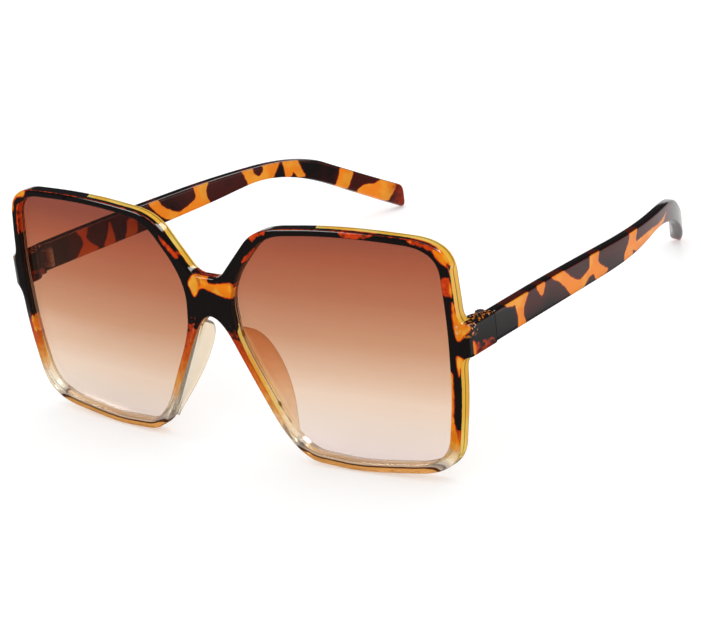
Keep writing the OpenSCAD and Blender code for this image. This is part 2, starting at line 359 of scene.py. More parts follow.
def dress(piece: Piece, finish: Finish) -> None:
    """Gives a piece one finish in place of what it had."""
    piece.data.materials.clear()
    piece.data.materials.append(finish)


def carve(piece: Piece, tools: list[tuple[str, Piece]], crease: float) -> None:
    """Joins solids to a piece or cuts them from it, and keeps the result as the piece's mesh.

    Args:
        piece: The piece to work on.
        tools: Pairs of UNION or DIFFERENCE and the solid. The solids are deleted.
        crease: Angle in degrees past which an edge stays sharp.
    """
    for kind, tool in tools:
        work = piece.modifiers.new("work", "BOOLEAN")
        work.operation, work.object, work.solver = kind, tool, "EXACT"
    bpy.context.view_layer.update()
    shape = piece.evaluated_get(bpy.context.evaluated_depsgraph_get())
    mesh = bpy.data.meshes.new_from_object(shape)
    piece.modifiers.clear()
    old, piece.data = piece.data, mesh
    mesh.name = piece.name
    bpy.data.meshes.remove(old)
    for _, tool in tools:
        bpy.data.objects.remove(tool)
    smooth(mesh, crease)


def set_values(piece: Piece, name: str, values: Array) -> None:
    """Stores one number for each vertex of a piece, for its material to read."""
    layer = piece.data.attributes.new(name, "FLOAT", "POINT")
    layer.data.foreach_set("value", np.asarray(values, np.float32))


def upright_points(piece: Piece) -> Array:
    """A piece's vertices.

    Args:
        piece: The piece.

    Returns:
        n x 3 upright points in millimetres.
    """
    flat = np.empty(len(piece.data.vertices) * 3, np.float32)
    piece.data.vertices.foreach_get("co", flat)
    return STAND.upright(flat.reshape(-1, 3).astype(float))


def softened(corners: Outline, cut: float = 1 / 6) -> Array:
    """A patch's outline after two rounds of cutting a share off both sides of each corner.

    Args:
        corners: The patch's corners.
        cut: The share.

    Returns:
        n x 2 corners.
    """
    loop = np.asarray(corners, float)
    for _ in range(2):
        after = np.roll(loop, -1, 0)
        edge = (after - loop) * cut
        loop = np.stack([loop + edge, after - edge], 1).reshape(-1, 2)
    return loop


def patch_distance(points: Array, patches: Patches) -> Array:
    """Signed distance to the nearest of several softened patches, negative inside one."""
    return np.min([loop_distance(points, softened(p)) for p in patches], axis=0)


class Nodes:
    """The node tree of a material or a world, with short calls for the nodes that they use."""

    def __init__(self, owner: bpy.types.ID) -> None:
        """Starts an empty tree.

        Args:
            owner: The new material or world.
        """
        self.owner = owner
        owner.use_nodes = True
        self.tree = owner.node_tree
        self.tree.nodes.clear()

    @classmethod
    def material(cls, name: str) -> "Nodes":
        """Starts a new material of a given name."""
        return cls(bpy.data.materials.new(name))

    def add(self, kind: str, values: dict, **settings: object) -> bpy.types.NodeOutputs:
        """Adds a node.

        Args:
            kind: The node's type name, without ShaderNode.
            values: Input names or numbers with a value or a socket each.
            **settings: The node's own settings.

        Returns:
            The node's outputs.
        """
        node = self.tree.nodes.new("ShaderNode" + kind)
        for key, value in settings.items():
            setattr(node, key, value)
        for key, value in values.items():
            if isinstance(value, bpy.types.NodeSocket):
                self.tree.links.new(value, node.inputs[key])
            else:
                node.inputs[key].default_value = value
        return node.outputs

    def maths(self, kind: str, a: Value, b: Value, clamp: bool = False) -> Socket:
        """One step of arithmetic on numbers or sockets."""
        return self.add("Math", {0: a, 1: b}, operation=kind, use_clamp=clamp)[0]

    def times(self, a: Value, b: Value) -> Socket:
        """One number times another."""
        return self.maths("MULTIPLY", a, b)

    def most(self, a: Value, b: Value) -> Socket:
        """The larger of two numbers."""
        return self.maths("MAXIMUM", a, b)

    def held(self, a: Value) -> Socket:
        """A number held to one at most."""
        return self.maths("MINIMUM", a, 1.0)

    def stored(self, name: str) -> Socket:
        """A number stored at the piece's vertices."""
        return self.add("Attribute", {}, attribute_name=name)["Fac"]

    def wavy(self, name: str, wobble: Socket, amount: float) -> Socket:
        """A stored number whose lines waver by an amount."""
        return self.maths("ADD", self.stored(name), self.times(wobble, amount))

    def step(self, value: Socket, low: float, high: float) -> Socket:
        """Zero below low, one above high and a smooth rise between. High may be the lower one."""
        values = {"Value": value, "From Min": low, "From Max": high}
        return self.add("MapRange", values, interpolation_type="SMOOTHSTEP")["Result"]

    def band(self, value: Socket, rise: Span, fall: Span) -> Socket:
        """One between two smooth steps and zero past both."""
        return self.times(self.step(value, *rise), self.step(value, *fall))

    def blend(self, share: Value, a: Paint, b: Paint) -> Socket:
        """Colour a where the share is zero and b where it is one."""
        a, b = (v if isinstance(v, bpy.types.NodeSocket) else (*v, 1) for v in (a, b))
        return self.add("Mix", {0: share, 6: a, 7: b}, data_type="RGBA")[2]

    def between(self, share: Value, a: Value, b: Value) -> Socket:
        """Number a where the share is zero and b where it is one."""
        return self.add("Mix", {0: share, 2: a, 3: b})[0]

    def noise(self, scale: float, detail: float = 3.0, stretch: Colour = (1, 1, 1)) -> Socket:
        """Noise on the piece's own coordinates, with about scale blots to a metre.

        Args:
            scale: Blots to a metre.
            detail: Finer rounds of noise on top.
            stretch: How much finer the noise is along each axis.

        Returns:
            Noise about one half.
        """
        place = self.add("TexCoord", {})["Object"]
        turned = self.add("Mapping", {"Vector": place, "Scale": stretch})[0]
        return self.add("TexNoise", {"Vector": turned, "Scale": scale, "Detail": detail})["Fac"]

    def spots(self, grain: Grain, span: Span) -> Socket:
        """Noise cut to spots with soft edges: grain is the noise's settings, span the step's."""
        return self.step(self.noise(*grain), *span)

    def ramp(self, value: Socket, stops: Sequence[tuple[float, Colour]]) -> Socket:
        """A colour ramp.

        Args:
            value: Place on the ramp.
            stops: Pairs of a place and a colour.

        Returns:
            The colour.
        """
        colour = self.add("ValToRGB", {"Fac": value})["Color"]
        bar = colour.node.color_ramp.elements
        while len(bar) < len(stops):
            bar.new(0.5)
        for element, (place, tint) in zip(bar, stops):
            element.position, element.color = place, (*tint, 1)
        return colour

    def finish(self, shader: Socket, kind: str = "OutputMaterial") -> bpy.types.ID:
        """Sends a shader to the output and returns the material or world."""
        self.add(kind, {"Surface": shader})
        return self.owner


def tone(code: str) -> Colour:
    """A screen colour such as f2c14a as linear light."""
    parts = [int(code[i:i + 2], 16) / 255 for i in (0, 2, 4)]
    return tuple(p / 12.92 if p <= 0.04045 else ((p + 0.055) / 1.055) ** 2.4 for p in parts)


@dataclass(frozen=True)
class Plastic:
    """What both tortoise plastics share: their index, a faint ripple and lines that waver."""

    ior: float = 1.5
    waver: float = 0.7
    waver_grain: Grain = (700, 3)
    lit_edge: Span = (0.1, -0.1)
    halo: Span = (0.4, 0.12)
    ripple_grain: Grain = (900, 2)
    ripple_strength: float = 0.03
    ripple_depth: float = 0.0002
    gloss_grain: Grain = (600, 3)

    def wobble(self, n: Nodes) -> Socket:
        """Noise about zero that makes lines waver."""
        return n.maths("SUBTRACT", n.noise(*self.waver_grain), 0.5)

    def surface(self, n: Nodes, colour: Socket, through: Socket, rough: Span,
                specular: float) -> Finish:
        """Ends the material with its shader.

        Args:
            n: The material's nodes.
            colour: Colour all over.
            through: Share of light let through.
            rough: Roughness where the gloss is best and worst.
            specular: Level of the mirrored light.

        Returns:
            The material.
        """
        bump = n.add("Bump", {"Height": n.noise(*self.ripple_grain),
                              "Strength": self.ripple_strength, "Distance": self.ripple_depth})
        surface = n.add("BsdfPrincipled", {
            "Base Color": colour,
            "Transmission Weight": through,
            "Roughness": n.between(n.noise(*self.gloss_grain), *rough),
            "IOR": self.ior,
            "Specular IOR Level": specular,
            "Normal": bump[0],
        })
        return n.finish(surface[0])


@dataclass(frozen=True)
class TortoiseFront(Plastic):
    """The front's plastic: a tortoise film on its face that fades to honey, on a clear body.

    Each colour is followed by where it shows: a pair is a smooth step in millimetres or in the
    fade, which is 0 where the film ends and 1 where the plastic is clear.
    """

    dark: Colour = tone("14100f")
    red: Colour = tone("c43a10")
    gone: Span = (0.0, 0.12)
    orange: Colour = tone("dc6418")
    orange_in: Span = (0.12, 0.45)
    honey: Colour = tone("eba24c")
    honey_in: Span = (0.4, 0.75)
    champagne: Colour = tone("fbf0dc")
    clear_in: Span = (0.7, 1.05)
    amber: Colour = tone("ff8c14")
    yellow: Colour = tone("ffb236")
    yellow_spots: Spots = ((330, 2), (0.45, 0.65))
    rust_spots: Spots = ((260, 3, (1, 1, 0.5)), (0.58, 0.72))
    patches_end: Span = (0.85, 0.5)
    # Painted glints: pale sparkles along each endpiece's top edge and round its front corner.
    painted_glint_spots: Spots = ((1500, 3), (0.53, 0.62))
    glint_white: Colour = tone("f2d2c0")
    glint_white_spots: Spots = ((900, 1), (0.52, 0.62))
    lit_through: float = 0.3
    faded_through: float = 0.5
    clear_through: float = 0.86
    golden: Colour = tone("ffc548")
    gold_light: Colour = tone("ffdc70")
    gold_spots: Spots = ((140, 2, (1, 1, 0.4)), (0.45, 0.62))
    gold_out: Span = (0.5, 1.2)
    body_clear_in: Span = (0.3, 1.0)
    amber_clear: Colour = tone("ffefd6")
    pad_amber: Colour = tone("ecb07c")
    near_pad: Span = (1.0, 2.0)
    pad_amber_out: Span = (1.2, 0.1)
    pad_through: float = 0.95
    brown: Colour = tone("4a2410")
    seams: tuple[tuple[Span, Span], ...] = (
        ((-1.15, -1.3), (-1.65, -1.5)), ((-2.7, -2.85), (-3.2, -3.05)))
    seam_out: Span = (0.7, 0.2)
    seam_share: float = 0.7
    # Painted shade: the greyer wall of the rind under each lens.
    shade_umber: Colour = tone("c8b8ac")
    shade_umber_share: float = 0.8
    rind_honey: Colour = tone("f2b060")
    rind_at: tuple[Span, Span, Span] = ((0.05, 0.5), (0.6, 0.75), (1.05, 1.25))
    rind_through: Colour = (0.6, 0.1, 0.55)
    film_edge: Span = (-0.1, 0.1)
    wavers: tuple[float, float, float, float] = (0.5, 0.3, 0.15, 0.2)
    rough: Span = (0.02, 0.08)
    specular: float = 0.3

    def shell(self, n: Nodes, patch: Socket, fade: Socket) -> tuple[Socket, Socket]:
        """The film's colour and how much light it lets through.

        Args:
            n: The material's nodes.
            patch: Signed distance to the nearest lit patch.
            fade: How far down the clear has come in.

        Returns:
            Colour and share of light.
        """
        colour = n.blend(n.step(patch, *self.halo), self.dark, self.red)
        gone, clear = n.step(fade, *self.gone), n.step(fade, *self.clear_in)
        colour = n.blend(gone, colour, self.red)
        colour = n.blend(n.step(fade, *self.orange_in), colour, self.orange)
        colour = n.blend(n.step(fade, *self.honey_in), colour, self.honey)
        lit = n.times(n.step(patch, *self.lit_edge), n.step(fade, *self.patches_end))
        warm = n.blend(n.spots(*self.yellow_spots), self.amber, self.yellow)
        colour = n.blend(lit, colour, n.blend(n.spots(*self.rust_spots), warm, self.red))
        # Painted glints: pale sparkles on the endpieces.
        painted_glints = n.times(n.stored("painted_glint"), n.spots(*self.painted_glint_spots))
        pale = n.blend(n.spots(*self.glint_white_spots), self.amber, self.glint_white)
        colour = n.blend(painted_glints, colour, pale)
        through = n.between(n.most(lit, painted_glints), 0.0, self.lit_through)
        through = n.between(gone, through, self.faded_through)
        return n.blend(clear, colour, self.champagne), n.between(clear, through, self.clear_through)

    def body(self, n: Nodes, fade: Socket) -> tuple[Socket, Socket]:
        """The colour and clearness of the plastic behind the film and of the nose pads.

        Args:
            n: The material's nodes.
            fade: How far down the clear has come in.

        Returns:
            Colour and share of light.
        """
        pad = n.stored("pad")
        on_pad = n.held(pad)
        gold = n.blend(n.spots(*self.gold_spots), self.golden, self.gold_light)
        colour = n.blend(n.step(fade, *self.gold_out), gold, self.champagne)
        colour = n.blend(on_pad, colour, self.amber_clear)
        deep = n.times(n.step(pad, *self.near_pad), n.step(fade, *self.pad_amber_out))
        colour = n.blend(deep, colour, self.pad_amber)
        through = n.between(n.step(fade, *self.body_clear_in), self.lit_through, self.clear_through)
        return colour, n.between(on_pad, through, self.pad_through)

    def make(self) -> Finish:
        """Builds the material from the vertices' patch, fade, film, painted_glint, rind and pad.

        Brown seams run behind the film. Round the foot of each lens runs the rind: an umber
        wall and a brown line, painted shade for the shaded floor under the rim seen through it, and
        a honey band.

        Returns:
            The material.
        """
        n = Nodes.material("tortoise_front")
        wobble = self.wobble(n)
        patch = n.wavy("patch", wobble, self.waver)
        fade, film, under, rind = (n.wavy(name, wobble, amount) for name, amount in zip(
            ("fade", "film", "film", "rind"), self.wavers))
        film = n.step(film, *self.film_edge)
        seam = n.most(*(n.band(under, *lines) for lines in self.seams))
        seam = n.times(seam, n.step(fade, *self.seam_out))
        shell, shell_through = self.shell(n, patch, fade)
        body, body_through = self.body(n, fade)
        colour, through = n.blend(film, body, shell), n.between(film, body_through, shell_through)
        colour = n.blend(n.times(seam, self.seam_share), colour, self.brown)
        # Painted shade: the rind's greyer wall and its brown line under each lens.
        wall, line, band = (n.step(rind, *span) for span in self.rind_at)
        wall_through, line_through, band_through = self.rind_through
        colour = n.blend(n.times(wall, self.shade_umber_share), colour, self.shade_umber)
        colour = n.blend(band, n.blend(line, colour, self.brown), self.rind_honey)
        through = n.between(wall, through, wall_through)
        through = n.between(line, through, n.between(band, line_through, band_through))
        return self.surface(n, colour, through, self.rough, self.specular)


@dataclass(frozen=True)
class TortoiseTemple(Plastic):
    """The temples' plastic: dark tortoise right through, with lit amber patches.

    Crest is the distance below the top edge and end the distance from the tip, in millimetres.
    The top face is painted dark with its patches dull red, as painted shade, and a spotted red
    line just below the top edge is a painted highlight.
    """

    dark: Colour = tone("130e0d")
    brown: Colour = tone("40140f")
    brown_spots: Spots = ((90, 3, (1, 0.35, 1)), (0.4, 0.6))
    # Painted shade: where the top face is darkened, by crest.
    top: Span = (0.4, 0.2)
    front: Span = (117.0, 120.0)
    shade_and_glint_red: Colour = tone("4a180c")
    top_glint_line: tuple[Span, Span] = ((0.45, 0.6), (1.0, 0.8))
    glint_line_spots: Spots = ((160, 2), (0.38, 0.6))
    red: Colour = tone("8c2408")
    shaded_top_halo: float = 0.15
    amber: Colour = tone("ff8f1c")
    yellow: Colour = tone("ffa630")
    yellow_spots: Spots = ((150, 2), (0.45, 0.62))
    tip: Span = (6.0, 1.0)
    tip_waver: float = 6.0
    lit_through: float = 0.25
    rough: Span = (0.05, 0.14)
    specular: float = 0.36

    def make(self) -> Finish:
        """Builds the material, which reads patch, crest and end from the vertices.

        Returns:
            The material.
        """
        n = Nodes.material("tortoise_temple")
        wobble = self.wobble(n)
        patch, crest = n.wavy("patch", wobble, self.waver), n.stored("crest")
        lit, top = n.step(patch, *self.lit_edge), n.step(crest, *self.top)
        base = n.blend(n.spots(*self.brown_spots), self.dark, self.brown)
        # Painted shade: the top face is darkened.
        base = n.blend(n.most(top, n.step(n.stored("end"), *self.front)), base, self.dark)
        # Painted highlight: a spotted red line just below the top edge.
        line = n.times(n.band(crest, *self.top_glint_line), n.spots(*self.glint_line_spots))
        base = n.blend(line, base, self.shade_and_glint_red)
        halo = n.times(n.step(patch, *self.halo), n.between(top, 1.0, self.shaded_top_halo))
        warm = n.blend(n.spots(*self.yellow_spots), self.amber, self.yellow)
        # Painted shade: on the top face the patches turn dull red.
        shell = n.blend(lit, n.blend(halo, base, self.red), n.blend(top, warm, self.shade_and_glint_red))
        shell = n.blend(n.step(n.wavy("end", wobble, self.tip_waver), *self.tip), shell, self.red)
        through = n.between(lit, 0.0, self.lit_through)
        return self.surface(n, shell, through, self.rough, self.specular)


@dataclass(frozen=True)
class GradedTint:
    """The lens: clear plastic dyed red-brown at the top and fading to pale beige."""

    stops: tuple[tuple[float, Colour], ...] = (
        (0.00, tone("f5e7e4")), (0.15, tone("f1e0d2")), (0.26, tone("efd6c0")),
        (0.34, tone("e2bea3")), (0.48, tone("c99675")), (0.66, tone("b27053")),
        (0.81, tone("a3593f")), (0.92, tone("8a493a")))
    low: float = -30.0
    high: float = 36.0
    mottle: Grain = (40, 1)
    mottle_height: float = 0.6
    ior: float = 1.5

    def make(self) -> Finish:
        """Builds the material, which reads height from the vertices.

        Returns:
            The material.
        """
        n = Nodes.material("tinted_lens")
        wobble = n.times(n.maths("SUBTRACT", n.noise(*self.mottle), 0.5), self.mottle_height)
        height = n.maths("ADD", n.stored("height"), wobble)
        share = n.add("MapRange", {"Value": height, "From Min": self.low, "From Max": self.high})
        surface = n.add("BsdfPrincipled", {
            "Base Color": n.ramp(share[0], self.stops),
            "Transmission Weight": 1.0,
            "Roughness": 0.0,
            "IOR": self.ior,
        })
        return n.finish(surface[0])


@dataclass(frozen=True)
class Metal:
    """A turned or stamped hinge metal, with fine brushing and a little wear."""

    name: str
    colour: Colour
    worn: Colour
    rough: Span = (0.18, 0.36)
    brushing: Grain = (5000, 2, (1, 1, 12))
    worn_spots: Spots = ((900, 3), (0.45, 0.65))
    brush_strength: float = 0.15
    brush_depth: float = 0.00002

    def make(self) -> Finish:
        """Builds the material on the piece's own coordinates.

        Returns:
            The material.
        """
        n = Nodes.material(self.name)
        brushed = n.noise(*self.brushing)
        bump = n.add("Bump", {"Height": brushed, "Strength": self.brush_strength,
                              "Distance": self.brush_depth})
        surface = n.add("BsdfPrincipled", {
            "Base Color": n.blend(n.spots(*self.worn_spots), self.colour, self.worn),
            "Metallic": 1.0,
            "Roughness": n.between(brushed, *self.rough),
            "Normal": bump[0],
        })
        return n.finish(surface[0])


@dataclass(frozen=True)
class PaleFloor:
    """A plain pale studio floor with the faintest mottling.

    Mirrored in gloss it is dimmer: mirror gives how bright near the pair and further off, and
    through how bright further off where the light has passed through a piece as well.
    """

    colour: Colour = (0.72, 0.72, 0.72)
    shade: Colour = (0.7, 0.7, 0.7)
    mottle: Grain = (3, 2)
    glow: float = 0.36
    mirror: tuple[float, float] = (0.8, 0.08)
    through: float = 0.6
    pair_y: float = 0.07
    round_pair: Span = (0.17, 0.11)
    before_pair: Span = (-0.09, -0.12)
    rough: float = 0.9
    specular: float = 0.1

    def make(self) -> Finish:
        """Builds the material.

        Returns:
            The material.
        """
        n = Nodes.material("pale_floor")
        path = n.add("LightPath", {})
        matt = n.maths("SUBTRACT", 1.0, path["Diffuse Depth"], clamp=True)
        mirrored = n.times(n.held(path["Glossy Depth"]), matt)
        place = n.add("SeparateXYZ", {0: n.add("TexCoord", {})["Object"]})
        reach = n.add("CombineXYZ", {0: place["X"], 1: n.maths("ADD", place["Y"], self.pair_y)})
        reach = n.add("VectorMath", {0: reach[0]}, operation="LENGTH")["Value"]
        close = n.most(n.step(reach, *self.round_pair), n.step(place["Y"], *self.before_pair))
        dim = n.between(n.held(path["Transmission Depth"]), self.mirror[1], self.through)
        share = n.between(mirrored, 1.0, n.between(close, self.mirror[0], dim))
        pale = n.blend(n.noise(*self.mottle), self.colour, self.shade)
        surface = n.add("BsdfPrincipled", {
            "Base Color": n.blend(share, BLACK, pale),
            "Roughness": self.rough,
            "Specular IOR Level": self.specular,
            "Emission Color": n.blend(share, BLACK, WHITE),
            "Emission Strength": self.glow,
        })
        return n.finish(surface[0])


@dataclass
class Shape:
    """Sizes that the front, the lenses and the temples share."""

    lens_w: float = 63.4
    lens_h: float = 59.1
    lens_t: float = 1.6
    lens_recess: float = 1.7
    ball: float = 505.0
    tongue_t: float = 0.8
    tongue_d: float = 0.65
    lens_gap: float = 0.03
    rim_t: float = 3.8
    bridge_w: float = 15.2
    rim_side_w: float = 2.65
    end_out: float = 3.15
    end_l: float = 11.6
    end_top: float = 10.2
    end_bottom: float = 1.8
    temple_t: float = 3.0
    seam_gap: float = 0.12
    corner_shares: Corners = (
        (-0.306, 0.473), (0.05, 0.507), (0.482, 0.482), (0.504, 0.165), (0.49, -0.144),
        (0.436, -0.458), (0.025, -0.503), (-0.257, -0.485), (-0.487, -0.015), (-0.51, 0.226))
    curve_shares: tuple[float, ...] = (0.3, 0.5, 0.35, 0.42, 0.33, 0.39, 0.23, 0.38, 0.27, 0.48)

    @property
    def lens_x(self) -> float:
        """The x of a lens's middle."""
        return (self.bridge_w + self.lens_w) / 2

    @property
    def rim_x(self) -> float:
        """The x of the rim's outer edge."""
        return self.bridge_w / 2 + self.lens_w + self.rim_side_w

    @property
    def end_x(self) -> float:
        """The x of an endpiece's outer face."""
        return self.rim_x + self.end_out

    @property
    def seam_y(self) -> float:
        """The y of the joint between endpiece and temple."""
        return float(self.behind(self.rim_x, 0, 0)) + self.end_l

    def behind(self, x: Array, z: Array, depth: Array) -> Array:
        """The y of x and z at a depth behind the front's face, which is a ball."""
        return self.ball - np.sqrt((self.ball - depth) ** 2 - np.square(x) - np.square(z))

    def on_ball(self, xz: Array, depth: Array) -> Array:
        """Points of x and z laid at a depth behind the front's face."""
        return np.stack([xz[:, 0], self.behind(*xz.T, depth), xz[:, 1]], 1)

    def lens_corners(self) -> Array:
        """Corners of the lens opening on the +X side."""
        return np.array(self.corner_shares) * (self.lens_w, self.lens_h) + (self.lens_x, 0)

    def rounded(self, corners: Array) -> Array:
        """A lens-shaped outline with each corner rounded by its share."""
        before, after = np.roll(corners, 1, 0), np.roll(corners, -1, 0)
        return np.vstack([corner_curve(*c) for c in zip(before, corners, after, self.curve_shares)])


SHAPE = Shape()


@dataclass(frozen=True)
class HingePocket:
    """The upright slot in the plastic for a hinge leaf, open to the joint and inwards."""

    gap: float = 0.02
    leaf_t: float = 0.8
    knuckle_d: float = 2.8
    knuckle_h: float = 1.55
    knuckle_gap: float = 0.06
    inset: float = 0.1
    over: float = 1.0
    front_l: float = 5.2
    temple_l: float = 7.0
    middle_z: float = 6.6

    def build(self, side: Side, forward: bool) -> Piece:
        """Builds the solid from its six-cornered plan.

        Args:
            side: Which hinge.
            forward: True for the endpiece's pocket and False for the temple's.

        Returns:
            The solid to cut away.
        """
        gap, knuckle_r = self.gap, self.knuckle_d / 2
        axis_x = SHAPE.end_x - SHAPE.temple_t - self.inset - knuckle_r
        leaf_in = SHAPE.end_x - SHAPE.temple_t / 2 - self.leaf_t / 2 - axis_x
        leaf_out = leaf_in + self.leaf_t
        length = self.front_l if forward else self.temple_l
        plan = np.array([
            (0, -self.over), (leaf_out + gap, -self.over), (leaf_out + gap, length + gap),
            (leaf_in - gap, length + gap), (leaf_in - gap, self.knuckle_d + gap),
            (0, knuckle_r + gap)])
        half = (3 * self.knuckle_h + 2 * self.knuckle_gap + 2 * gap) / 2
        x = side.value * (axis_x + plan[:, 0])
        y = SHAPE.seam_y + (-1 if forward else 1) * plan[:, 1]
        rings = [np.stack([x, y, np.full(len(x), self.middle_z + s * half)], 1) for s in (-1, 1)]
        return tube("pocket", np.array(rings))


class Vertices:
    """The front's vertices, with what its pattern needs to know about each."""

    def __init__(self, points: Array) -> None:
        """Sorts the vertices.

        Args:
            points: n x 3 upright points.
        """
        self.x, self.y, self.z = x, y, z = points.T
        self.out = np.abs(x)
        self.face, self.side = np.stack([x, z], 1), np.stack([y, z], 1)
        self.depth = SHAPE.ball - np.sqrt(x**2 + (y - SHAPE.ball) ** 2 + z**2)
        tall = (z > SHAPE.end_bottom - 0.5) & (z < SHAPE.end_top + 0.5)
        self.wall = tall & (self.out > SHAPE.rim_x - 2.5) & (self.depth > 1.6)
        self.end = self.wall | tall & (self.out > SHAPE.rim_x - 0.2)


@dataclass
class FrontFrame:
    """The one moulded front: both rims, the bridge, the endpieces and the nose pads."""

    top_w: float = 1.75
    bottom_w: float = 2.6
    nose_w: float = 1.9
    brow_w: float = 3.1
    bridge_top_glint: float = 15.1
    bridge_arch: float = 4.5
    bridge_round: float = 2.6
    end_shoulder: float = 1.9
    shoulder_steps: Corners = (
        (-2, 0), (-1, 0.02), (0, 0.12), (0.6, 0.35), (1.2, 0.65), (1.8, 0.9), (2.4, 1))
    end_turn: float = 4.2
    end_corner: float = 3.0
    end_fillet: float = 4.2
    end_edge: float = 1.1
    end_middle: float = 6.0
    end_half: float = 4.2
    end_inset: float = 0.012
    inner_edge: float = 0.6
    joint_edge: float = 0.12
    pad_d: float = 7.2
    pad_t: float = 1.7
    pad_l: float = 33.0
    pad_shape: Corners = ((0, 0), (0.16, 1.05), (0.58, 1.05), (1, 0))
    pad_tip: float = 1.15
    pad_top: float = 1.6
    pad_splay: float = math.radians(2)
    pad_inset: float = 0.15
    sink: float = 0.4
    face_round: float = 0.6
    back_round: float = 0.45
    back_sharp: float = 0.03
    lens_round: float = 0.32
    spacing: float = 0.45
    step: float = 0.5
    crease: float = 38.0
    patches: Patches = (
        ((-6, 13), (-4, 15.4), (0.5, 16), (0.5, 14.5), (1, 13.2), (8.3, 14.5), (8.9, 14.3),
         (8.8, 13.5), (8.4, 11.3), (8.1, 10.6), (7.3, 10.5), (3, 11.2), (0.3, 12.1), (-2, 12.4),
         (-4.3, 9.2), (-5.4, 11.5)),
        ((69, 28.9), (71.8, 28.2), (73.9, 25.8), (73.2, 24.4), (71.2, 25.4), (69.6, 27)),
        ((72.8, 21.8), (73.8, 21.8), (73.4, 17.2), (72.8, 17.2)),
        ((73, 15.8), (74.4, 15.8), (75.2, 13.3), (77, 11.4), (76.6, 9), (73.6, 5.8), (73, 10)),
        ((72.8, 2.5), (75, 1.3), (74, -2), (73.6, -3.2), (73, -2.8)),
        ((70.4, -2), (71.3, -2), (70.7, -9), (69.9, -15), (70.4, -18), (70.6, -21.6),
         (67.2, -24.6), (67.6, -19), (69.4, -9)),
        ((-65.5, 30.4), (-69, 30.4), (-72.3, 28), (-73.2, 23.5), (-72.2, 23.2), (-71.2, 26.4),
         (-69.4, 28), (-66, 28.6)),
        ((-71.2, -6.2), (-68.6, -5.8), (-67.4, -10), (-66.8, -12.5), (-69.4, -11), (-71, -10.6)),
    )
    reds: Patches = (
        ((-70.2, 25.6), (-67.2, 27), (-67.4, 23), (-69, 17.4), (-71.4, 17), (-71, 22)),
        ((42.6, 31.4), (47.5, 32), (54.5, 31.4), (51, 29.8), (46.5, 29.6), (44, 29.6)),
        ((18.4, 25.6), (17, 24.6), (13.2, 21.6), (12.6, 20.2), (14.8, 20.6), (18.6, 24.4)),
        ((15.6, 27), (17, 28.2), (21.6, 29.8), (21.2, 28.4), (18.4, 27.6), (17.4, 25.8)),
        ((70.4, 22), (73.6, 22), (73.2, 17), (70.8, 17)),
        ((-14.5, 25), (-12.5, 23.6), (-8, 19.5), (-9.2, 18.6), (-12, 21), (-14.5, 23.5)),
        ((61.5, 31.4), (67, 30.6), (70.4, 29.4), (69.4, 27.8), (66, 28.8), (62.5, 29.8)),
    )
    red_halo: float = 0.4
    red_least: float = 0.15
    dull_red: float = 0.3
    solid: Patches = (
        ((-80, 40), (-43, 40), (-43, 31.5), (-38, 29), (-41, 26), (-58, 26), (-64, 20), (-66, 0),
         (-67, -12), (-80, -12)),
        ((-4, 20), (9, 20), (9, 3), (-9, 3), (-9, 9), (-6, 12)),
        ((2, 24), (14, 40), (36, 40), (34, 31), (39, 29), (36, 24), (20, 24), (10, 4), (2, 4)),
    )
    thin: Patches = (
        ((66, 24), (82, 24), (82, -30), (66, -30)),
        ((3, 2), (14, 2), (26, -32), (10, -30), (3, -6)),
    )
    back_blots: Patches = (
        ((45, 34), (53, 34), (52, 31), (57, 29.5), (59, 26), (49, 26), (50, 29)),
        ((64, 34), (73, 31), (72, 25), (70, 27.5), (66, 27), (66, 30)),
        ((68, 18.5), (71, 20), (78, 17), (78, 12), (72.5, 12.5), (70.5, 15), (68, 13)),
        ((66, -5), (70, -3), (71.5, -5), (78, -2), (78, -14), (72, -12), (70, -15), (66, -13)),
        ((-19, 34), (-27, 34), (-26, 31), (-31, 29), (-30, 25), (-22, 24), (-22, 29)),
        ((-12, 20), (-19, 26), (-16, 28), (-12, 24)),
    )
    end_patches: Patches = (
        ((6.4, 6.4), (8.4, 5.4), (8.2, 1.4), (5, 1.4), (6, 4.6)),
    )
    end_reds: Patches = (
        ((8, 5.2), (12, 5), (16.4, 3.8), (16.4, 1.4), (8, 1.4)),
    )
    painted_glint_band: float = 0.5
    # Painted highlight: how red the thin line along the rims' top edge is.
    edge_highlight_red: float = 0.2
    edge_depth: float = 0.7
    # Middle and size of the painted glints round the endpiece's front corner.
    glint_corner: tuple[float, float, float] = (75.4, 9.2, 2.6)
    rind_x: tuple[float, float] = (20.0, 66.0)
    film: float = 1.5
    thin_film: float = 0.5
    fade_x: tuple[float, ...] = (-74, -66, -25, -12, 12, 25, 66, 74)
    fade_from: tuple[float, ...] = (-6.4, -6.4, 1, 2.5, 1, -2, -16, -17.6)
    side_later: float = 4.0
    nasal_sooner: float = 22.0
    fade_over: tuple[float, ...] = (17, 17, 24, 26, 26, 24, 7.5, 7)

    def rim_corners(self) -> Array:
        """Corners of the rim's outer outline on the +X side.

        Returns:
            10 x 2 corners, as x and z.
        """
        side = SHAPE.rim_side_w
        widths = (self.top_w, self.top_w, side, side, side, self.bottom_w, self.bottom_w,
                  self.nose_w, self.nose_w, self.brow_w)
        return widened(SHAPE.lens_corners(), widths)

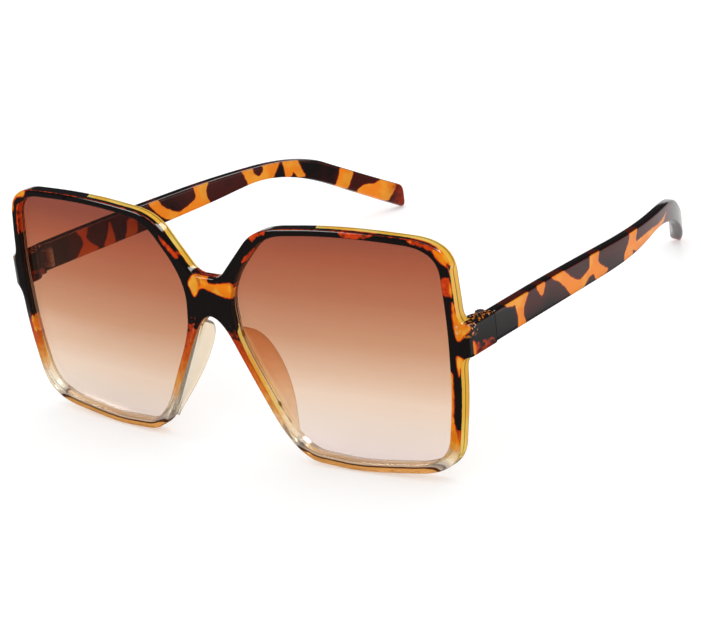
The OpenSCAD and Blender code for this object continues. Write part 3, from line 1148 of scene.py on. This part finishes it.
    def outline(self) -> Array:
        """The front's closed outer outline, clockwise, endpieces included, at even spacing.

        Returns:
            n x 2 points.
        """
        rim = self.rim_corners()
        low_nose, nose, brow = rim[7:]
        crown = np.array([0, self.bridge_top_glint])
        top = crossing(crown, np.array([1.0, 0]), brow, unit(rim[0] - brow))
        arch = crossing(low_nose, unit(nose - low_nose), np.zeros(2), np.array([0, 1.0]))
        share = 2 * (arch[1] - self.bridge_arch) / (arch[1] - low_nose[1])
        parts = [sized_corner(crown, top, rim[0], self.bridge_round)]
        parts += [corner_curve(rim[i - 1], rim[i], rim[i + 1], SHAPE.curve_shares[i])
                  for i in range(8)]
        half = evenly(np.vstack(parts), spacing=0.1, closed=False)
        high, low = SHAPE.end_top, SHAPE.end_bottom
        past = (half[:, 0] > SHAPE.lens_x) & (half[:, 1] < high + self.end_fillet)
        beyond = past & (half[:, 1] < low - self.end_fillet)
        first, last = int(np.argmax(past)), int(np.argmax(beyond))
        x, edge = SHAPE.end_x, self.end_edge
        bulge = [
            curve(half[first], (SHAPE.rim_x, high), (x - edge, high), steps=16),
            curve((x - edge, high), (x, high), (x, high - edge), steps=10),
            curve((x, low + edge), (x, low), (x - edge, low), steps=10),
            curve((x - edge, low), (SHAPE.rim_x, low), half[last], steps=16),
        ]
        half = np.vstack([half[:first], *bulge, half[last + 1:]])
        mirrored = low_nose * (-1, 1)
        under = curve(arch + (low_nose - arch) * share, arch, arch + (mirrored - arch) * share,
                      steps=40)
        return evenly(np.vstack([half, under, half[::-1] * (-1, 1)]), self.spacing)

    def turned_corner(self, x: Array) -> Array:
        """How far the endpiece's plan curve has rolled back at x: size times (1 - s)^2, where s is
        the root of the distance left to its outer face over the size."""
        left = np.clip((SHAPE.end_x - np.abs(x)) / self.end_corner, 0, 1)
        return self.end_corner * (1 - np.sqrt(left)) ** 2

    def edge_rings(self, loop: Array) -> Array:
        """Rings round the outer edge: a quarter round off the face, the wall, a quarter round
        to the back. Each ring is the loop moved inwards, at its own depth. The back's round
        gives way to a sharp edge where the endpiece joins on.

        Args:
            loop: The outer outline.

        Returns:
            rings x n x 3 points, from face to back.
        """
        normal = loop_normals(loop)
        clear = np.clip((np.abs(loop[:, 1] - self.end_middle) - self.end_half) / 2, 0, 1)
        clear = np.where(np.abs(loop[:, 0]) > SHAPE.rim_x - 1, clear, 1)
        back_r = self.back_sharp + (self.back_round - self.back_sharp) * clear
        rings = []
        for a in quarter_turn(8):
            ring = SHAPE.on_ball(loop - normal * self.face_round * (1 - math.sin(a)), 0)
            sunk = ring[:, 1] + self.face_round * (1 - math.cos(a))
            ring[:, 1] = sunk + self.turned_corner(ring[:, 0])
            rings.append(ring)
        start, stop = rings[-1], rings[-1].copy()
        stop[:, 1] = SHAPE.behind(*loop.T, SHAPE.rim_t - back_r)
        rings += [start + (stop - start) * s for s in (0.25, 0.5, 0.75)]
        for a in quarter_turn(6):
            xz = loop - normal * (back_r * (1 - math.cos(a)))[:, None]
            rings.append(SHAPE.on_ball(xz, SHAPE.rim_t - back_r * (1 - math.sin(a))))
        return np.array(rings)

    def lens_rings(self, side: Side) -> Array:
        """Rings round a lens opening: a quarter round off the face, the wall, the groove for
        the lens's tongue, and a quarter round to the back.

        Args:
            side: Which opening.

        Returns:
            rings x n x 3 points, from face to back.
        """
        loop = evenly(SHAPE.rounded(SHAPE.lens_corners()), self.spacing)
        normal = loop_normals(loop)
        r, gap, turns = self.lens_round, SHAPE.lens_gap, quarter_turn(6)
        first = SHAPE.lens_recess + (SHAPE.lens_t - SHAPE.tongue_t) / 2 - gap
        last, reach = first + SHAPE.tongue_t + 2 * gap, SHAPE.tongue_d + gap
        profile = [(r * (1 - math.sin(a)), r * (1 - math.cos(a))) for a in turns]
        profile += [(0, first / 2), (0, first), (reach, first), (reach, last), (0, last)]
        profile += [(r * (1 - math.cos(a)), SHAPE.rim_t - r * (1 - math.sin(a))) for a in turns]
        return np.array([SHAPE.on_ball((loop + normal * out) * (side.value, 1), depth)
                         for out, depth in profile])

    def field(self, loops: list[Array]) -> Array:
        """An even field of points on the face, clear of its outlines.

        Args:
            loops: The outer outline and the two lens openings.

        Returns:
            n x 2 points.
        """
        reach = SHAPE.lens_h * 0.6
        xs, zs = (np.arange(-end, end, self.step) for end in (SHAPE.end_x, reach))
        points = np.stack(np.meshgrid(xs, zs), -1).reshape(-1, 2)
        near = np.min([np.abs(loop_distance(points, loop)) for loop in loops], axis=0)
        return points[between_loops(points, loops) & (near > self.step * 0.5)]

    @staticmethod
    def triangles(flat: Array, loops: list[Array]) -> Array:
        """Triangles that fill the face between its outlines.

        Args:
            flat: The loops' points, in order, and then the field's.
            loops: The outer outline and the two lens openings.

        Returns:
            Triangles as rows of three indices into flat.
        """
        edges, start = [], 0
        for loop in loops:
            index = start + np.arange(len(loop))
            edges += np.stack([index, np.roll(index, -1)], 1).tolist()
            start += len(loop)
        cut = delaunay_2d_cdt([Vector(p) for p in flat], edges, [], 0, NO_GAP)
        source = np.array([ids[0] if ids else -1 for ids in cut[3]])
        found = source[np.array([face for face in cut[2] if len(face) == 3])]
        return found[(found >= 0).all(1) & between_loops(flat[found].mean(1), loops)]

    def plate(self) -> Piece:
        """The rims and bridge: the edge's rings, both openings' rings, and between them a face and
        a back that share one triangulation of their rings and of an even field of points.

        Returns:
            The plate.
        """
        parts = [self.edge_rings(self.outline()), *(self.lens_rings(side) for side in Side)]
        loops = [rings[0][:, [0, 2]] for rings in parts]
        field = self.field(loops)
        triangles = self.triangles(np.vstack([*loops, field]), loops)
        front, back = SHAPE.on_ball(field, 0), SHAPE.on_ball(field, SHAPE.rim_t)
        front[:, 1] += self.turned_corner(field[:, 0])
        faces, face_index, back_index, start = [], [], [], 0
        for rings in parts:
            count, size = rings.shape[:2]
            faces += ring_faces(count, size, start).tolist()
            face_index.append(start + np.arange(size))
            back_index.append(start + (count - 1) * size + np.arange(size))
            start += count * size
        face_index.append(start + np.arange(len(field)))
        back_index.append(start + len(field) + np.arange(len(field)))
        faces += np.concatenate(face_index)[triangles].tolist()
        faces += np.concatenate(back_index)[triangles][:, ::-1].tolist()
        points = np.vstack([*(rings.reshape(-1, 3) for rings in parts), front, back])
        return new_piece("front_frame_body", points, faces, self.crease)

    def endpiece(self, side: Side) -> Piece:
        """The wall that turns back to the joint: a rounded oblong section carried along y, whose
        inner side steps out from the shoulder to the temple's thickness. The first ring lies
        inside the plate, on its ball.

        Args:
            side: Which end.

        Returns:
            The solid to join to the plate.
        """
        inset, edge = self.end_inset, self.joint_edge
        outer_x, high, low = SHAPE.end_x - inset, SHAPE.end_top - inset, SHAPE.end_bottom + inset
        wall_x = SHAPE.end_x - SHAPE.temple_t
        shoulder_x = wall_x - self.end_shoulder
        turn_y = float(SHAPE.behind(shoulder_x, self.end_middle, SHAPE.rim_t)) + self.end_turn
        edge_y = SHAPE.seam_y - SHAPE.seam_gap / 2 - edge
        places = np.arange(turn_y - 3.5, edge_y, self.step)
        behind, moved = np.array(self.shoulder_steps).T
        stepped = np.interp(places, turn_y + behind, moved)
        rows = [(None, 0.0, 0.0), *((y, s, 0.0) for y, s in zip(places, stepped))]
        rows += [(edge_y + edge * math.sin(a), 1.0, edge * (1 - math.cos(a)))
                 for a in quarter_turn(4)]
        rings = []
        for y, s, shrink in rows:
            x0 = shoulder_x + (wall_x - shoulder_x) * s + shrink
            section = self.oblong(x0, outer_x - shrink, low + shrink, high - shrink)
            ring = SHAPE.on_ball(section, SHAPE.rim_t - self.sink + 0.05)
            if y is not None:
                ring[:, 1] = y
            rings.append(ring * (side.value, 1, 1))
        return tube("endpiece", np.array(rings), self.crease)

    def oblong(self, x0: float, x1: float, z0: float, z1: float) -> Array:
        """An upright oblong with corners of two sizes: 4 quadratic curves, and its straight sides
        as evenly set points between them, the same number in every section.

        Args:
            x0: Inner side.
            x1: Outer side.
            z0: Underside.
            z1: Top.

        Returns:
            The closed outline.
        """
        inner, outer = self.inner_edge, self.end_edge
        corners = [((x1 - outer, z1), (x1, z1), (x1, z1 - outer)),
                   ((x1, z0 + outer), (x1, z0), (x1 - outer, z0)),
                   ((x0 + inner, z0), (x0, z0), (x0, z0 + inner)),
                   ((x0, z1 - inner), (x0, z1), (x0 + inner, z1))]
        parts = []
        for k, corner in enumerate(corners):
            count, after = 4 if k % 2 else 14, corners[(k + 1) % 4][0]
            parts += [curve(*corner, steps=6),
                      np.linspace(corner[2], after, count, endpoint=False)[1:]]
        return np.vstack(parts)

    def pad(self, side: Side) -> Piece:
        """A nose pad: a thin fin with a round free edge, carried along the rim beside the nose.

        Its section runs up one face, over half an ellipse and down the other face. Its height
        along the fin comes from the pad's curved outline.

        Args:
            side: Which pad.

        Returns:
            The solid to join to the plate.
        """
        low_nose, nose = self.rim_corners()[7:9]
        along = unit(low_nose - nose)
        top = nose + along * ((nose[1] - self.pad_top) / -along[1])
        top_y, low_y = (float(SHAPE.behind(*p, SHAPE.rim_t))
                        for p in (top, top + along * self.pad_l))
        c = np.array(self.pad_shape) * (self.pad_l, self.pad_d)
        edge = np.vstack([c[:1], corner_curve(*c[:3], 0.5, steps=24),
                          corner_curve(*c[1:], 0.5, steps=24), c[3:]])
        length = 0.5 * (1 - np.cos(np.linspace(0, math.pi, 70))) * self.pad_l
        height = np.interp(length, *edge.T)
        half = self.pad_t / 2
        tip = np.minimum(half * self.pad_tip, height + self.sink * 0.5)
        rise = np.linspace(0, 1, 5)
        flank = np.outer(height - tip + self.sink, rise) - self.sink
        arc = np.linspace(0, math.pi, 14)[1:-1]
        over = (height - tip)[:, None] + np.outer(tip, np.sin(arc))
        deep = np.hstack([flank, over, flank[:, ::-1]])
        thick = (half - half * np.concatenate([np.ones(5), np.cos(arc), -np.ones(5)])
                 + self.pad_inset)
        turn = math.atan2(low_y - top_y, self.pad_l)
        p = length[:, None] * math.cos(turn) - deep * math.sin(turn)
        q = length[:, None] * math.sin(turn) + deep * math.cos(turn)
        y = q * math.cos(self.pad_splay) - thick * math.sin(self.pad_splay)
        w = q * math.sin(self.pad_splay) + thick * math.cos(self.pad_splay)
        x = top[0] + p * along[0] - w * along[1]
        z = top[1] + p * along[1] + w * along[0]
        return tube("pad", np.stack([side.value * x, top_y + y, z], -1), self.crease)

    def patch_values(self, v: Vertices) -> Array:
        """Signed distance to the nearest lit patch. A red patch stops just short of lit. On the
        rounded edge of the face the patches are darkened to red as painted shade, and on top a thin
        red line along that edge is a painted highlight.

        Args:
            v: The front's vertices.

        Returns:
            n distances.
        """
        reds = patch_distance(v.face, self.reds) + self.red_halo
        patch = np.minimum(patch_distance(v.face, self.patches), np.maximum(reds, self.red_least))
        reds = patch_distance(v.side, self.end_reds) + self.red_halo
        turned = np.minimum(patch_distance(v.side, self.end_patches),
                            np.maximum(reds, self.dull_red))
        # Painted reflection: the bridge's top wall is tinted dull red for its dark red glints.
        bridge_top_glint = (v.out < 9) & (v.depth > 1) & (v.z > 13)
        patch = np.where(bridge_top_glint, self.dull_red, np.where(v.wall, turned, patch))
        rounded = v.depth < self.edge_depth
        # Painted shade: lit patches turn red and dark on the rounded edge of the face.
        edge_shade = np.clip((v.depth - 0.12) / 0.15, 0, 1) * rounded * 0.6
        patch = patch + np.where(v.end | (v.out < 20), 0, edge_shade)
        # Painted highlight: a thin red line along the rounded top edge of the rims.
        line = np.maximum(self.edge_highlight_red + 1.5 * np.abs(v.depth - 0.34), self.red_least)
        top_edge_highlight = (v.z > 18) & (v.out > 14) & rounded & ~v.end
        return np.where(top_edge_highlight, np.minimum(patch, line), patch)

    def fade_values(self, v: Vertices) -> Array:
        """How far down the clear has come in: 0 where the fade starts and 1 where it ends. Behind
        the face it starts lower on the near outer side and higher beside the nose.

        Args:
            v: The front's vertices.

        Returns:
            n shares.
        """
        behind = np.clip(v.depth * 2 - 1, 0, 1)
        later = self.side_later * behind * (v.x > SHAPE.lens_x * 1.5)
        sooner = self.nasal_sooner * behind * ((v.x > -27) & (v.x < -2) & (v.z < 10))
        start = np.interp(v.x, self.fade_x, self.fade_from) - later + sooner
        return (start - v.z) / np.interp(v.x, self.fade_x, self.fade_over)

    def film_values(self, v: Vertices) -> Array:
        """The tortoise film's thickness less the depth behind the face. It is right through in the
        solid places, thin in others, and comes back in blots on the back.

        Args:
            v: The front's vertices.

        Returns:
            n distances, above zero in the film.
        """
        solid, thin = (np.clip(0.5 - patch_distance(v.face, p), 0, 1)
                       for p in (self.solid, self.thin))
        film = self.film + 4 * solid + (self.thin_film - self.film) * thin * (1 - solid) - v.depth
        blots = 1 - patch_distance(v.face, self.back_blots) * 3
        film = np.where(v.depth > SHAPE.rim_t - 0.3, np.maximum(film, blots), film)
        return np.where(v.end, 1, film)

    def painted_glint_values(self, v: Vertices) -> Array:
        """One where painted glints make an endpiece sparkle: along its top edge and round its front
        corner.

        Args:
            v: The front's vertices.

        Returns:
            n shares.
        """
        x, z, size = self.glint_corner
        top = 0.9 * np.clip((v.z - SHAPE.end_top + self.painted_glint_band) / 0.4, 0, 1)
        corner = np.clip(size - np.hypot(v.x - x, v.z - z), 0, 1) * np.clip(10 - v.y, 0, 1)
        return np.where(v.end, np.maximum(top, corner), 0)

    def rind_values(self, v: Vertices) -> Array:
        """Where the rind under each lens runs, with its painted shade and honey band: the distance
        out from the lens opening in millimetres, which falls to zero at the rind's two ends and
        above the lower rim.

        Args:
            v: The front's vertices.

        Returns:
            n distances.
        """
        low, high = self.rind_x
        value, top = np.zeros(len(v.x)), -SHAPE.lens_h * 0.4
        below = v.z < top
        across, z = v.out[below], v.z[below]
        out = loop_distance(np.stack([across, z], 1), SHAPE.rounded(SHAPE.lens_corners()))
        ends = np.clip((across - low) / 6, 0, 1) * np.clip((high - across) / 6, 0, 1)
        value[below] = ends * np.clip((top - z) / 3, 0, 1) * out
        return value

    def pad_values(self, v: Vertices) -> Array:
        """One on the far nose pad, two on the near one and zero on the rest."""
        pad = np.clip((v.depth - SHAPE.rim_t) / 1.5, 0, 1) * (v.out < SHAPE.lens_x)
        return pad * np.where(v.x > 0, 2, 1)

    def build(self) -> Piece:
        """Joins the plate, endpieces and pads, cuts the hinge pockets and stores the pattern.

        Returns:
            The finished front.
        """
        piece = self.plate()
        tools = []
        for side in Side:
            tools += [("UNION", self.endpiece(side)), ("UNION", self.pad(side)),
                      ("DIFFERENCE", HingePocket().build(side, forward=True))]
        carve(piece, tools, self.crease)
        vertices = Vertices(upright_points(piece))
        for name, values in (("patch", self.patch_values), ("fade", self.fade_values),
                             ("film", self.film_values), ("painted_glint", self.painted_glint_values),
                             ("rind", self.rind_values), ("pad", self.pad_values)):
            set_values(piece, name, values(vertices))
        dress(piece, TortoiseFront().make())
        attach(piece, "front")
        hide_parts("front_frame")
        return piece


@dataclass
class Lens:
    """A lens: a shell cut from two balls, with a tongue all round that sits in the rim's groove."""

    side: Side
    finish: Finish
    spacing: float = 0.6
    rings: int = 14
    # Painted shade: how much higher the right lens reads its tint, so that it looks darker.
    far_lens_shade: float = 4.5
    crease: float = 35.0

    def build(self) -> Piece:
        """Builds the lens as rings from its middle to its edge on the front, over the tongue, and
        back to the middle behind: point = middle + share x (outline - middle), on its ball.

        Returns:
            The finished lens.
        """
        corners = SHAPE.lens_corners()
        seat = evenly(SHAPE.rounded(widened(corners, [-SHAPE.lens_gap] * len(corners))),
                      self.spacing)
        tongue = seat + loop_normals(seat) * (SHAPE.tongue_d + SHAPE.lens_gap)
        near, far = SHAPE.lens_recess, SHAPE.lens_recess + SHAPE.lens_t
        lip = (SHAPE.lens_t - SHAPE.tongue_t) / 2
        middle = np.array([SHAPE.lens_x, 0.0])
        shares = np.linspace(0, 1, self.rings + 1)[1:]
        rows = [(middle + (seat - middle) * s, near) for s in shares]
        rows += [(seat, near + lip), (tongue, near + lip), (tongue, far - lip), (seat, far - lip)]
        rows += [(middle + (seat - middle) * s, far) for s in shares[::-1]]
        poles = [SHAPE.on_ball(middle[None], depth) for depth in (near, far)]
        grid = np.vstack([*(SHAPE.on_ball(*row) for row in rows), *poles]) * (self.side.value, 1, 1)
        count = len(seat)
        last, i = len(rows) * count, np.arange(count)
        k = (i + 1) % count
        front = np.stack([np.full(count, last), k, i], 1)
        back = np.stack([np.full(count, last + 1), last - count + i, last - count + k], 1)
        faces = [*ring_faces(len(rows), count).tolist(), *front.tolist(), *back.tolist()]
        piece = new_piece(f"lens_shell_{self.side.word}", grid, faces, self.crease)
        # Painted shade: the right lens reads its tint higher up, a darker copy for its more slanted
        # view.
        far_lens_shade = 0 if self.side is Side.LEFT else self.far_lens_shade
        set_values(piece, "height", upright_points(piece)[:, 2] + far_lens_shade)
        dress(piece, self.finish)
        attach(piece, "front")
        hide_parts(f"lens_{self.side.word}")
        return piece


@dataclass
class Temple:
    """A temple: a rounded oblong section carried back from the joint, in over the ear and down."""

    side: Side
    finish: Finish
    patches: Patches
    length: float = 127.5
    height: float = 7.9
    mid_height: float = 7.2
    waist: float = 2.4
    tip_height: float = 7.0
    fall: float = 4.2
    crown_fall: float = 0.15
    drop: float = 17.5
    bend_in: float = 4.1
    tip_in: float = 27.3
    tip_round: float = 1.3
    crown: float = 0.233
    middle: float = 0.494
    waist_at: float = 0.735
    bend_at: float = 0.777
    edge: float = 0.75
    edge_steps: int = 6
    end_edge: float = 0.7
    end_share: float = 0.8
    joint_edge: float = 0.12
    spacing: float = 0.25
    stations: int = 240
    flank: int = 12
    crease: float = 38.0

    def plan(self) -> Array:
        """The outer face's line from above, as x and y, from the joint to the tip.

        Returns:
            n x 2 points.
        """
        x, y = SHAPE.end_x, SHAPE.seam_y
        first = np.array([x, y + SHAPE.seam_gap / 2])
        bend = np.array([x - self.bend_in, y + self.bend_at * self.length])
        tip = np.array([x - self.tip_in, y + self.length])
        return np.vstack([first, curve(bend + (first - bend) * 0.45, bend, tip, steps=60)])

    def side_point(self, share: float, z: float) -> Array:
        """The y at a share of the temple's length, with a height."""
        return np.array([SHAPE.seam_y + share * self.length, z])

    def elevation(self) -> tuple[Array, Array]:
        """The top and the underside from the side.

        Returns:
            Two lines of y and z.
        """
        at, high = self.side_point, SHAPE.end_top
        start, crown = at(0, high), at(self.crown, high - self.crown_fall * self.fall)
        bend, tip = at(self.bend_at, high - self.fall), at(1, high - self.fall - self.drop)
        mid = crown + (bend - crown) * ((self.middle - self.crown) / (self.bend_at - self.crown))
        top = np.vstack([start, corner_curve(start, crown, bend, 0.45),
                         corner_curve(crown, bend, tip, 0.22), tip])
        low_start, low_mid = start - (0, self.height), mid - (0, self.mid_height)
        low_waist, low_tip = at(self.waist_at, low_mid[1] + self.waist), tip - (0, self.tip_height)
        low = np.vstack([low_start, corner_curve(low_start, low_mid, low_waist, 0.3),
                         corner_curve(low_mid, low_waist, low_tip, 0.45), low_tip])
        return top, low

    def section(self) -> tuple[Array, Array, Array]:
        """The section's points, round from the outer top edge: how far in they lie, their share of
        the height, and what the rounded edges take off there.

        Returns:
            Three rows of n numbers.
        """
        e, thick, turn = self.edge, SHAPE.temple_t, quarter_turn(self.edge_steps)
        flank = np.linspace(0, 1, self.flank + 2)[1:-1]
        rise, reach = e * (1 - np.cos(turn)), e * np.sin(turn)
        inward = np.concatenate([rise, thick - e + reach, np.full(self.flank, thick),
                                 thick - rise, e - reach, np.zeros(self.flank)])
        across = 2 * self.edge_steps
        share = np.concatenate([np.zeros(across), flank, np.ones(across), flank[::-1]])
        trim = np.concatenate([e - reach, rise, e * (1 - 2 * flank),
                               reach - e, -rise, e * (1 - 2 * flank[::-1])])
        return inward, share, trim

    def rings(self) -> Array:
        """The temple's rings: at each station the section spans the thickness along the plan's
        normal and the height between the two side curves, and the tip rolls over its corners.

        Returns:
            stations x n x 3 upright points.
        """
        line = evenly(self.plan(), self.spacing, closed=False)
        run = run_along(line)
        total, tip_r, round_in = run[-1], self.tip_round, self.end_edge
        rolled = total - tip_r * (1 - np.sin(quarter_turn(12)[1:]))
        places = np.concatenate([np.linspace(0, total - tip_r, self.stations), rolled])
        left = np.clip((total - places) / tip_r, 0, 1)
        drop_in = tip_r * (1 - np.sqrt(np.clip(1 - (1 - left) ** 2, 0, 1)))
        near = np.clip((total - places) / round_in, 0, 1)
        shrink = round_in * (1 - np.sqrt(np.clip(1 - (1 - near) ** 2, 0, 1))) * self.end_share
        shrink = shrink + np.clip(1 - places / self.joint_edge, 0, 1) * self.joint_edge / 2
        centre = read_off(line, run, places)
        heading = unit(read_off(unit(np.gradient(line, axis=0)), run, places))
        u, share, trim = self.section()
        deep = u[None, :] + shrink[:, None] * (1 - 2 * u / SHAPE.temple_t)[None, :]
        x, y = centre[:, :1] - heading[:, 1:] * deep, centre[:, 1:] + heading[:, :1] * deep
        top, low = self.elevation()
        lose = (drop_in + shrink)[:, None]
        high, base = np.interp(y, *top.T) - lose, np.interp(y, *low.T) + lose
        return np.stack([self.side.value * x, y, high + (base - high) * share - trim], -1)

    def build(self) -> Piece:
        """Builds the temple, cuts its hinge pocket and stores its pattern.

        Returns:
            The finished temple.
        """
        piece = tube(f"temple_arm_{self.side.word}", self.rings(), self.crease)
        carve(piece, [("DIFFERENCE", HingePocket().build(self.side, forward=False))], self.crease)
        points = upright_points(piece)
        y, z = points[:, 1:].T
        set_values(piece, "patch", patch_distance(points[:, 1:], self.patches))
        set_values(piece, "end", SHAPE.seam_y + self.length - y)
        set_values(piece, "crest", np.interp(y, *self.elevation()[0].T) - z)
        dress(piece, self.finish)
        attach(piece, f"{self.side.word}_temple")
        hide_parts(f"temple_{self.side.word}")
        return piece


@dataclass
class Hinges:
    """The two metal hinges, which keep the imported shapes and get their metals."""

    leaf: Metal = Metal("hinge_metal", tone("c9c4bd"), tone("9c958c"))
    screw: Metal = Metal("screw_steel", tone("d9d6d2"), tone("a8a39c"), (0.12, 0.26))

    def build(self) -> None:
        """Puts the metals on the leaves and screws."""
        leaf, screw = self.leaf.make(), self.screw.make()
        for name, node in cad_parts.items():
            if name.startswith("hinge_"):
                dress(node, screw if "screw" in name else leaf)


@dataclass
class Studio:
    """The floor, the soft light and the camera."""

    azimuth: float = math.radians(41.96)
    elevation: float = math.radians(24.53)
    roll: float = math.radians(-11.517)
    distance: float = 0.64143
    aim: Point = (0.0, -0.0702745, 0.0330348)
    across: float = 0.035174
    up: float = -0.003049
    focal: float = 130.15
    sensor: float = 36.0
    clip: Span = (0.01, 20)
    floor_size: float = 6.0
    fill: float = 1.0
    room: Colour = (0.04, 0.04, 0.045)
    glow: Colour = (1.0, 0.92, 0.78)
    glow_top: Span = (0.8, 0.5)
    box_white: Colour = (1, 0.98, 0.95)
    boxes: tuple[tuple[Point, float, float], ...] = (
        ((-0.61, -0.4, 0.66), math.radians(11), 14.0),
        ((0.23, 0.68, 0.7), math.radians(9), 12.0),
    )
    lamp_at: Point = (0.0, 0.25, 1.2)
    lamp_size: float = 0.8
    lamp_power: float = 2.4

    def camera(self) -> None:
        """Sets the camera at the photograph's place: back along azimuth and elevation from the
        aim, moved across and up in its own plane, and rolled about its own axis."""
        a, e, r = self.azimuth, self.elevation, self.roll
        back = Vector((math.sin(a) * math.cos(e), -math.cos(a) * math.cos(e), math.sin(e)))
        right = (-back).cross(Vector((0, 0, 1))).normalized()
        up = right.cross(-back)
        data = bpy.data.cameras.new("camera")
        data.sensor_width, data.lens = self.sensor, self.focal
        data.clip_start, data.clip_end = self.clip
        camera = linked("camera", data)
        place = Vector(self.aim) + back * self.distance + right * self.across + up * self.up
        c, s = math.cos(r), math.sin(r)
        axes = Matrix((right * c + up * s, up * c - right * s, back)).transposed().to_4x4()
        camera.matrix_world = Matrix.Translation(place) @ axes
        bpy.context.scene.camera = camera

    def surround(self) -> None:
        """Sets the world: an even fill for matt surfaces, and for mirrored or refracted rays a dim
        room with soft boxes at a few directions. Refracted rays also see a warm glow all round,
        up to half way to the zenith."""
        world = bpy.data.worlds.new("studio")
        bpy.context.scene.world = world
        n = Nodes(world)
        way = n.add("TexCoord", {})["Generated"]
        path = n.add("LightPath", {})
        height = n.add("SeparateXYZ", {0: way})["Z"]
        low = n.times(n.step(height, *self.glow_top), path["Is Transmission Ray"])
        light = n.add("Background", {
            "Color": n.blend(low, self.room, self.glow), "Strength": 1.0})[0]
        for toward, radius, strength in self.boxes:
            aim = tuple(Vector(toward).normalized())
            dot = n.add("VectorMath", {0: way, 1: aim}, operation="DOT_PRODUCT")["Value"]
            share = n.step(dot, math.cos(radius * 1.25), math.cos(radius * 0.8))
            box = n.add("Background", {"Color": (*self.box_white, 1), "Strength": strength})[0]
            light = n.add("MixShader", {0: share, 1: light, 2: box})[0]
        sharp = n.maths("ADD", path["Is Glossy Ray"], path["Is Singular Ray"])
        sharp = n.maths("ADD", sharp, path["Is Transmission Ray"], clamp=True)
        share = n.times(sharp, n.maths("SUBTRACT", 1.0, n.held(path["Diffuse Depth"])))
        fill = n.add("Background", {"Color": (*WHITE, 1), "Strength": self.fill})[0]
        n.finish(n.add("MixShader", {0: share, 1: fill, 2: light})[0], "OutputWorld")

    def lamps(self) -> None:
        """Hangs the soft lamp that casts the contact shadows."""
        data = bpy.data.lights.new("top_soft", "AREA")
        data.shape, data.size, data.energy = "DISK", self.lamp_size, self.lamp_power
        lamp = linked("top_soft", data)
        lamp.location = self.lamp_at
        lamp.rotation_euler = (-Vector(self.lamp_at)).to_track_quat("-Z", "Y").to_euler()

    def floor(self) -> None:
        """Lays the floor at z = 0, as one quad."""
        half = self.floor_size / 2
        mesh = bpy.data.meshes.new("floor")
        corners = [(-half, -half, 0), (half, -half, 0), (half, half, 0), (-half, half, 0)]
        mesh.from_pydata(corners, [], [(0, 1, 2, 3)])
        mesh.materials.append(PaleFloor().make())
        linked("floor", mesh)

    def build(self) -> None:
        """Builds the whole studio."""
        self.camera()
        self.surround()
        self.lamps()
        self.floor()
        view = bpy.context.scene.view_settings
        view.view_transform, view.look = "Standard", "None"


LEFT_PATCHES: Patches = (
    ((21, 10.4), (26.5, 10.4), (32.5, 9.6), (31, 8), (29.5, 6.5), (29.2, 5), (30, 1.8), (26.2, 2),
     (26.7, 4.5), (26.2, 7), (26, 8.4), (22.5, 9)),
    ((35.5, 9.8), (40.5, 9.4), (38, 5.8)),
    ((42.5, 9.5), (47, 9.6), (49, 9), (51.5, 6.5), (55.5, 4), (58.5, 4.7), (61, 5.6), (61.3, 8.6),
     (66.5, 8.6), (65, 6), (66.2, 4.5), (70, 2.2), (67.5, 1.4), (63.3, 1.4), (62.5, 3.5),
     (60, 3.3), (57.5, 1.6), (51.5, 1.4), (49, 4.5), (46.5, 7)),
    ((82.2, 8.2), (87, 7.8), (85.5, 5.5), (85.2, 4.1), (89, 4.1), (94.5, 4.1), (100.5, 3.5),
     (105, 3.6), (109, 4.4), (104.5, 2.3), (97, 2), (90.5, 2), (85, 1.6), (82.8, 3), (83, 1.4),
     (78, 1.2), (78.2, 3), (80, 4.5), (81.5, 6)),
)
RIGHT_PATCHES: Patches = (
    ((29, 10.5), (34, 10), (33.5, 8.5), (32.6, 7), (34, 5), (37.5, 2.2), (32.5, 1.8), (28, 1.8),
     (30, 4), (31.4, 5.2), (31.4, 7), (30, 9)),
    ((42.3, 9), (43.2, 4.5), (43.5, 1.8), (38.5, 2), (41, 5)),
    ((49, 7), (52.5, 6.2), (52.4, 2), (47, 1), (48.3, 4)),
    ((57, 9), (60.8, 9.6), (62, 7), (64, 5), (68.5, 2.5), (72, 3), (75.5, 4), (76.4, 5), (76, 7),
     (75.6, 8.8), (82.3, 8), (80.4, 5.5), (80.8, 3), (82, 0.4), (76.5, 0.2), (70.5, 0.2),
     (64, 1.6), (60, 5)),
    ((94, 8.4), (98.7, 8.2), (98.7, 5.5), (100.5, 3.4), (102.4, 5), (102.2, 7.8), (109, 7.2),
     (107.5, 5), (105, 1.2), (101.5, 1), (96.8, 0.8), (96, 4)),
    ((108.8, 7.2), (114, 5.8), (114.6, 3), (116, -0.8), (113.3, -0.2), (112.3, 2.2), (111.4, 0.4),
     (109.6, 0.8), (109.4, 4)),
    ((126.6, -0.4), (130.4, -2.6), (129.2, -5.5), (127.8, -8.4), (124.6, -6.4), (125.8, -3.5)),
    ((130.6, -9), (132.5, -7.8), (135.5, -8.3), (137.5, -7), (141, -9.2), (140.4, -11.5),
     (138.2, -15), (134.5, -13.4), (131, -11)),
)


def main() -> None:
    """Builds the studio and every sub-assembly in turn, and reports each piece."""
    logging.basicConfig(level=logging.INFO, format="%(name)s: %(message)s")
    Studio().build()
    made = [FrontFrame().build()]
    tint, tortoise = GradedTint().make(), TortoiseTemple().make()
    for side, patches in ((Side.LEFT, LEFT_PATCHES), (Side.RIGHT, RIGHT_PATCHES)):
        made += [Lens(side, tint).build(), Temple(side, tortoise, patches).build()]
    Hinges().build()
    for piece in made:
        LOG.info("%s: %d faces", piece.name, len(piece.data.polygons))


if __name__ == "__main__":
    main()
